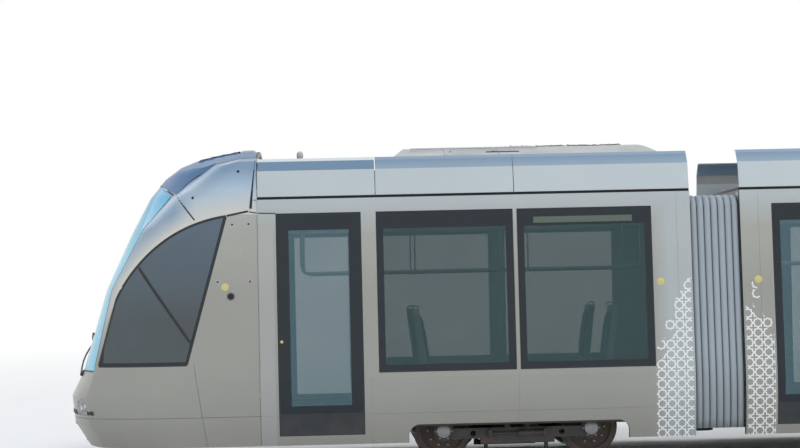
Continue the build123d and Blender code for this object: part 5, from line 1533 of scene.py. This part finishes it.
def make_saloon_fittings():
    """Ceiling lights, handrails, blank displays and readers of the saloons, and the cabs' desk fittings."""
    spans = (("front", FRONT_END + 0.20, CAB_LINE - 0.20), ("mid_front", MID_START + 0.20, MID_END - 0.20),
             ("centre", -CENTRE_END + 0.20, CENTRE_END - 0.20))
    ceiling, rail_z = CEILING + 0.080, 2.06
    rail_end_shape = [(0.0, CEILING + 0.002), (0.0, 2.14), (0.02, 2.08), (0.08, rail_z)]
    for section, start, end in spans:
        form = Form()
        first, last = start + 0.25, end - 0.25
        for side in SIDES:
            y = side * 0.40
            form.use("pale_plastic").bar(y, 0.060, ceiling + 0.004, 0.052, ceiling - 0.012, start, end)
            form.use("ceiling_light").bar(y, 0.042, ceiling - 0.008, 0.034, ceiling - 0.022, start + 0.03, end - 0.03)
            y = side * POLE_Y
            path = [(first + reach, y, z) for reach, z in rail_end_shape]
            path += [(last - reach, y, z) for reach, z in rail_end_shape[::-1]]
            form.use("brushed_metal").tube(path, 0.0155, 12)
            stays = max(1, round((last - first) / 1.4))
            for k in range(1, stays):
                x = first + (last - first) * k / stays
                form.tube([(x, y, rail_z), (x, y, CEILING + 0.002)], 0.009, 8)
                form.lathe((x, y, rail_z), (1, 0, 0),
                           [(-0.020, 0.017), (-0.018, 0.021), (0.018, 0.021), (0.020, 0.017)], 16)
        for station, way in ((start - 0.10, 1), (end + 0.10, -1)):
            if section == "front" and way < 0:
                station = CAB_LINE - 0.0975
            form.use("black_trim").block((station, -0.36, 2.400), (station + way * 0.045, 0.36, 2.545))
            near = station + way * 0.044
            form.use("display").block((near, -0.335, 2.420), (near + way * 0.004, 0.335, 2.525))
        if section != "centre":
            pole_x = POLE_STATIONS[4] if section == "front" else POLE_STATIONS[1]
            for side in SIDES:
                y = side * POLE_Y
                inner = y - side * 0.070
                screen = inner - side * 0.002
                form.use("grab_yellow").block((pole_x - 0.055, y, 1.26), (pole_x + 0.055, inner, 1.47))
                form.use("display").block((pole_x - 0.040, screen, 1.38), (pole_x + 0.040, inner, 1.45))
        form.pair("saloon_fittings", ENDS[section], "interior_trim", bevel=0.0015)

    desk = Form()

    def on_desk(ahead, across, up):
        return Vector((CAB_LINE + 0.78 + ahead - up * 0.27, across, 1.115 + ahead * 0.2857 + up * 0.962))

    for y, half in ((-0.42, 0.15), (0.0, 0.17), (0.42, 0.15)):
        for name, depth, rim in (("black_trim", 0.0, 0.0), ("display", -0.006, 0.014)):
            rows = []
            for across in (-half + rim, half - rim):
                rows.append([
                    on_desk(0.300 + depth, y + across, 0.012 + rim), on_desk(0.330 + depth, y + across, 0.012 + rim),
                    on_desk(0.350 + depth, y + across, 0.200 - rim), on_desk(0.325 + depth, y + across, 0.200 - rim)])
            desk.use(name).skin(rows)
    for y in (-0.56, 0.56):
        desk.use("black_trim").lathe(on_desk(0.12, y, 0.0), (-0.27, 0, 0.96), [
            (-0.004, 0.040), (0.012, 0.036), (0.020, 0.012), (0.085, 0.009), (0.095, 0.022), (0.125, 0.020),
            (0.132, 0.010)], 20)
    for i in range(7):
        for j in range(3):
            colour = ("red_lens", "amber", "pale_plastic", "grey_plastic")[(i * 2 + j) % 4]
            desk.use(colour).lathe(on_desk(0.10 + j * 0.05, -0.30 + i * 0.10, 0.0), (-0.27, 0, 0.96),
                                   [(-0.003, 0.012), (0.006, 0.012), (0.009, 0.009)], 14)
    desk.pair("desk_fittings", CABS, "interior_trim", bevel=0.0015)


# Doors and windows

def make_door_fittings():
    """Meeting rubbers and push-buttons of the doors, gaskets of the windows, and blank strips beside the doors."""
    for section in ("front", "mid_front"):
        leaves = f"{section}_doors"
        skin = Surface(leaves)
        shell = Surface(f"{section}_walls", f"{section}_glazing", leaves)
        form, gaskets = Form(), Form().use("rubber")
        for side in SIDES:
            look = from_wall(side)
            for owner, kind, start, end in BAYS:
                if owner != section:
                    continue
                if kind == "window":
                    corners = [(start, WINDOW_FOOT), (end, WINDOW_FOOT), (end, WINDOW_HEAD), (start, WINDOW_HEAD)]
                    for near, far in zip(corners, corners[1:] + corners[:1]):
                        seal(gaskets, shell, along([near, far], 0.30), look, -0.004, 0.004, 0.0012)
                    continue
                middle = (start + end) / 2 if section == "mid_front" else None
                buttons = (middle - 0.042, middle + 0.042) if middle else (end - 0.042,)
                if middle:
                    for lean in (-1, 1):
                        x = middle + lean * 0.010
                        seal(form.use("rubber"), skin, along([(x, 0.345), (x, 2.685)], 0.2), look, -0.006, 0.006, 0.004)
                for x in buttons:
                    on_side(form.use("brushed_metal"), skin, x, BUTTON_Z, side,
                            [(-0.003, 0.030), (0.005, 0.030), (0.008, 0.026), (0.006, 0.021)], 28)
                    on_side(form.use("yellow_paint"), skin, x, BUTTON_Z, side,
                            [(-0.001, 0.020), (0.007, 0.020), (0.009, 0.014)], 24)
        form.pair("door_fittings", ENDS[section], "door_black")
        gaskets.pair("window_gaskets", ENDS[section], "door_black")
    strip = Form().use("display")
    shell = Surface("front_walls", "front_glazing")
    for side in SIDES:
        look = from_wall(side)
        path = along([(CAB_LINE - 2.953, STRIP_Z), (CAB_LINE - 4.015, STRIP_Z)], 0.15)
        seal(strip, shell, path, look, -0.033, 0.033, 0.0016)
    strip.pair("blank_strip", CABS, "interior_trim")


# Roof

def make_roof_fittings():
    """Fan guards, bolts, rails, vents and aerial of the cab sections; ducts and lifting eyes of every roof."""
    pod = Surface("front_roof_gear")

    def crown(y):
        return pod.top(FRONT_END + 2.29, y)[0].z

    form = Form()
    for station in FAN_STATIONS:
        form.use("bolt_steel")
        for radius in (0.055, 0.115, 0.175, 0.235, 0.298):
            form.tube([(station + dx, dy, crown(dy) + 0.006) for dx, dy in around(36, radius)], 0.0032, 6, closed=True)
        for k in range(6):
            angle = pi * k / 6
            spoke = [(station + r * cos(angle), r * sin(angle)) for r in (-0.335, -0.22, -0.11, 0.0, 0.11, 0.22, 0.335)]
            form.tube([(x, y, crown(y) + 0.010) for x, y in spoke], 0.0036, 6)
            for r in (-0.330, 0.330):
                x, y = station + r * cos(angle), r * sin(angle)
                form.lathe((x, y, crown(y)), (0, 0, 1), [(-0.003, 0.013), (0.014, 0.013), (0.017, 0.009)], 8)
    for x in (FRONT_END + 2.05, FRONT_END + 2.53):
        for y in (-0.62, -0.2, 0.2, 0.62):
            point, up = pod.top(x, y)
            form.use("bolt_steel").lathe(point, up, [(-0.003, 0.016), (0.005, 0.016), (0.007, 0.011)], 12)
    for side in SIDES:
        y = side * 0.52
        rail = [(x, y, pod.top(x, y)[0].z + 0.022) for x in (11.02, 11.4, 11.8, 12.2, 12.42)]
        form.use("pale_plastic").tube(rail, 0.010, 10)
        for x in (11.06, 11.5, 11.95, 12.40):
            point, up = pod.top(x, y)
            form.lathe(point, (0, 0, 1), [(-0.004, 0.020), (0.006, 0.018), (0.012, 0.010), (0.024, 0.010)], 12)
        look = from_top()
        vent = along([(11.590, side * 0.66), (11.225, side * 0.66)], 0.12)
        seal(form.use("dark_hole"), pod, vent, look, -0.028, 0.028, 0.0012)
    aerial = (CAB_LINE - 0.444, 0.0, DECK)
    form.use("pale_plastic").lathe(aerial, (0, 0, 1), [
        (-0.002, 0.070), (0.010, 0.070), (0.016, 0.030), (0.480, 0.026), (0.500, 0.034), (0.530, 0.038), (0.555, 0.036),
        (0.570, 0.026), (0.577, 0.010)], 28)
    for dx, dy in around(4, 0.055, pi / 4):
        form.use("bolt_steel").lathe((aerial[0] + dx, dy, DECK + 0.009), (0, 0, 1),
                                     [(-0.003, 0.007), (0.006, 0.007), (0.008, 0.004)], 6)
    form.pair("roof_fittings", CABS, "roof_gear_grey")

    for section, start, end in (
            ("front", FRONT_END + 0.16, CAB_LINE - 0.16), ("mid_front", MID_START + 0.16, MID_END - 0.16),
            ("centre", -CENTRE_END + 0.14, CENTRE_END - 0.14)):
        ducts = Form()
        for side in SIDES:
            y = side * 0.960
            ducts.use("grey_plastic").bar(y, 0.045, DECK - 0.001, 0.040, DECK + 0.042, start, end)
            count = max(2, round((end - start) / 0.62))
            for k in range(count + 1):
                x = start + 0.03 + (end - start - 0.06) * k / count
                ducts.use("brushed_metal").bar(y, 0.050, DECK - 0.001, 0.044, DECK + 0.046, x - 0.012, x + 0.012)
            for x in (start + 0.10, end - 0.10):
                eye = side * 0.865
                ducts.use("bolt_steel").lathe((x, eye, DECK), (0, 0, 1),
                                              [(-0.002, 0.032), (0.010, 0.030), (0.018, 0.014)], 20)
                ducts.tube([(x + dx, eye, DECK + 0.046 + dz) for dx, dz in around(20, 0.030)], 0.0085, 8, closed=True)
        ducts.pair("roof_ducts", ENDS[section], "roof_gear_grey", bevel=0.002)


# Running gear and pantograph

def make_running_gear():
    """Bolts and caps of the axlebox covers, and bolts of the wheels."""
    for section, middle in (("front", BOGIE_X), ("centre", 0.0)):
        form = Form().use("bolt_steel")
        for side in SIDES:
            for axle in (middle - AXLE_REACH, middle + AXLE_REACH):
                for dx, dz in around(6, 0.088):
                    form.lathe((axle + dx, side * BOX_FACE, AXLE_Z + dz), (0, side, 0),
                               [(-0.004, 0.010), (0.007, 0.010), (0.009, 0.007)], 6)
                form.lathe((axle, side * BOX_FACE, AXLE_Z), (0, side, 0),
                           [(-0.003, 0.072), (0.005, 0.072), (0.011, 0.054), (0.013, 0.015)], 28)
        form.pair("axlebox_bolts", ENDS[section], "bogie_iron")
        for number, axle in ((1, middle + AXLE_REACH), (2, middle - AXLE_REACH)):
            wheels = Form().use("bolt_steel")
            for side in SIDES:
                for dx, dz in around(10, 0.165):
                    wheels.lathe((axle + dx, side * WHEEL_FACE, AXLE_Z + dz), (0, side, 0),
                                 [(-0.004, 0.013), (0.010, 0.013), (0.012, 0.010)], 6)
            for body, turned in zip(ENDS[section], (False, True)):
                wheels.place(f"{body}_wheel_bolts_{number}", f"{body}_wheelset_{number}", "wheel_steel", turned=turned)


def make_pantograph_fittings():
    """Pin caps at the knee and under the head of the pantograph."""
    for body, x, z, radius, y in (("pantograph_lower_arm", -0.6334, 3.3104, 0.026, 0.230),
                                  ("pantograph_head", 0.56, 3.4359, 0.020, 0.250)):
        form = Form()
        for side in SIDES:
            form.use("bolt_steel").lathe((x, side * y, z), (0, side, 0), [
                (-0.004, radius), (0.003, radius), (0.007, radius * 0.8), (0.010, radius * 0.35)], 24)
            form.use("copper").lathe((x, side * y, z), (0, side, 0), [
                (-0.002, radius + 0.006), (0.001, radius + 0.006), (0.002, radius + 0.003)], 24)
        form.place(f"{body}_caps", body, "pantograph_frame")


class TRAM_OT_finishes(bpy.types.Operator):
    """Make every finish and give the solids theirs."""

    bl_idname = "tram.finishes"
    bl_label = "Finishes"

    def execute(self, context):
        make_finishes()
        return {"FINISHED"}


class TRAM_OT_stage(bpy.types.Operator):
    """Make the floor, the light and the camera."""

    bl_idname = "tram.stage"
    bl_label = "Stage"

    def execute(self, context):
        make_stage()
        return {"FINISHED"}


class TRAM_OT_seats(bpy.types.Operator):
    """Make the pads and grab handles of every seat."""

    bl_idname = "tram.seats"
    bl_label = "Seats"

    def execute(self, context):
        make_seats()
        return {"FINISHED"}


class TRAM_OT_gangways(bpy.types.Operator):
    """Make the folded bellows of the four gangways."""

    bl_idname = "tram.gangways"
    bl_label = "Gangway bellows"

    def execute(self, context):
        make_gangways()
        return {"FINISHED"}


class TRAM_OT_sides(bpy.types.Operator):
    """Make the discs, fixings and sockets of the body sides."""

    bl_idname = "tram.sides"
    bl_label = "Side fittings"

    def execute(self, context):
        make_side_fittings()
        return {"FINISHED"}


class TRAM_OT_doors(bpy.types.Operator):
    """Make the door edges and buttons, the window gaskets and the blank strips."""

    bl_idname = "tram.doors"
    bl_label = "Doors and windows"

    def execute(self, context):
        make_door_fittings()
        return {"FINISHED"}


class TRAM_OT_nose(bpy.types.Operator):
    """Make the seals, wiper, dome fins, sign and bumper of the noses."""

    bl_idname = "tram.nose"
    bl_label = "Nose fittings"

    def execute(self, context):
        make_nose_fittings()
        return {"FINISHED"}


class TRAM_OT_lamps(bpy.types.Operator):
    """Make what shows behind the headlamp glasses."""

    bl_idname = "tram.lamps"
    bl_label = "Lamps"

    def execute(self, context):
        make_lamps()
        return {"FINISHED"}


class TRAM_OT_saloon(bpy.types.Operator):
    """Make the lights, rails and displays of the saloons and the desk fittings."""

    bl_idname = "tram.saloon"
    bl_label = "Saloon fittings"

    def execute(self, context):
        make_saloon_fittings()
        return {"FINISHED"}


class TRAM_OT_roof(bpy.types.Operator):
    """Make the fan guards, aerial, rails, ducts and lifting eyes."""

    bl_idname = "tram.roof"
    bl_label = "Roof fittings"

    def execute(self, context):
        make_roof_fittings()
        return {"FINISHED"}


class TRAM_OT_running_gear(bpy.types.Operator):
    """Make the bolts of the bogies and wheels and the pin caps of the pantograph."""

    bl_idname = "tram.running_gear"
    bl_label = "Running gear and pantograph"

    def execute(self, context):
        make_running_gear()
        make_pantograph_fittings()
        return {"FINISHED"}


OPERATORS = (TRAM_OT_finishes, TRAM_OT_stage, TRAM_OT_seats, TRAM_OT_gangways, TRAM_OT_sides, TRAM_OT_doors,
             TRAM_OT_nose, TRAM_OT_lamps, TRAM_OT_saloon, TRAM_OT_roof, TRAM_OT_running_gear)


class TRAM_PT_panel(bpy.types.Panel):
    """Lists the tram's operators, sizes and colours."""

    bl_idname = "TRAM_PT_panel"
    bl_label = "Tram"
    bl_space_type = "VIEW_3D"
    bl_region_type = "UI"
    bl_category = "Tram"

    def draw(self, context):
        for operator in OPERATORS:
            self.layout.operator(operator.bl_idname)
        for group in (context.scene.tram_sizes, context.scene.tram_colours):
            for key in group.bl_rna.properties.keys():
                if key not in ("rna_type", "name"):
                    self.layout.prop(group, key)


CLASSES = (TramColours, TramSizes) + OPERATORS + (TRAM_PT_panel,)


def register():
    """Registers the classes and the values of the sidebar."""
    for entry in CLASSES:
        bpy.utils.register_class(entry)
    bpy.types.Scene.tram_colours = PointerProperty(type=TramColours)
    bpy.types.Scene.tram_sizes = PointerProperty(type=TramSizes)


def unregister():
    """Takes the classes and the values away again."""
    del bpy.types.Scene.tram_sizes
    del bpy.types.Scene.tram_colours
    for entry in reversed(CLASSES):
        bpy.utils.unregister_class(entry)


def main():
    """Dresses the whole tram."""
    register()
    for operator in OPERATORS:
        getattr(bpy.ops.tram, operator.bl_idname.split(".")[1])()


if __name__ == "__main__":
    main()
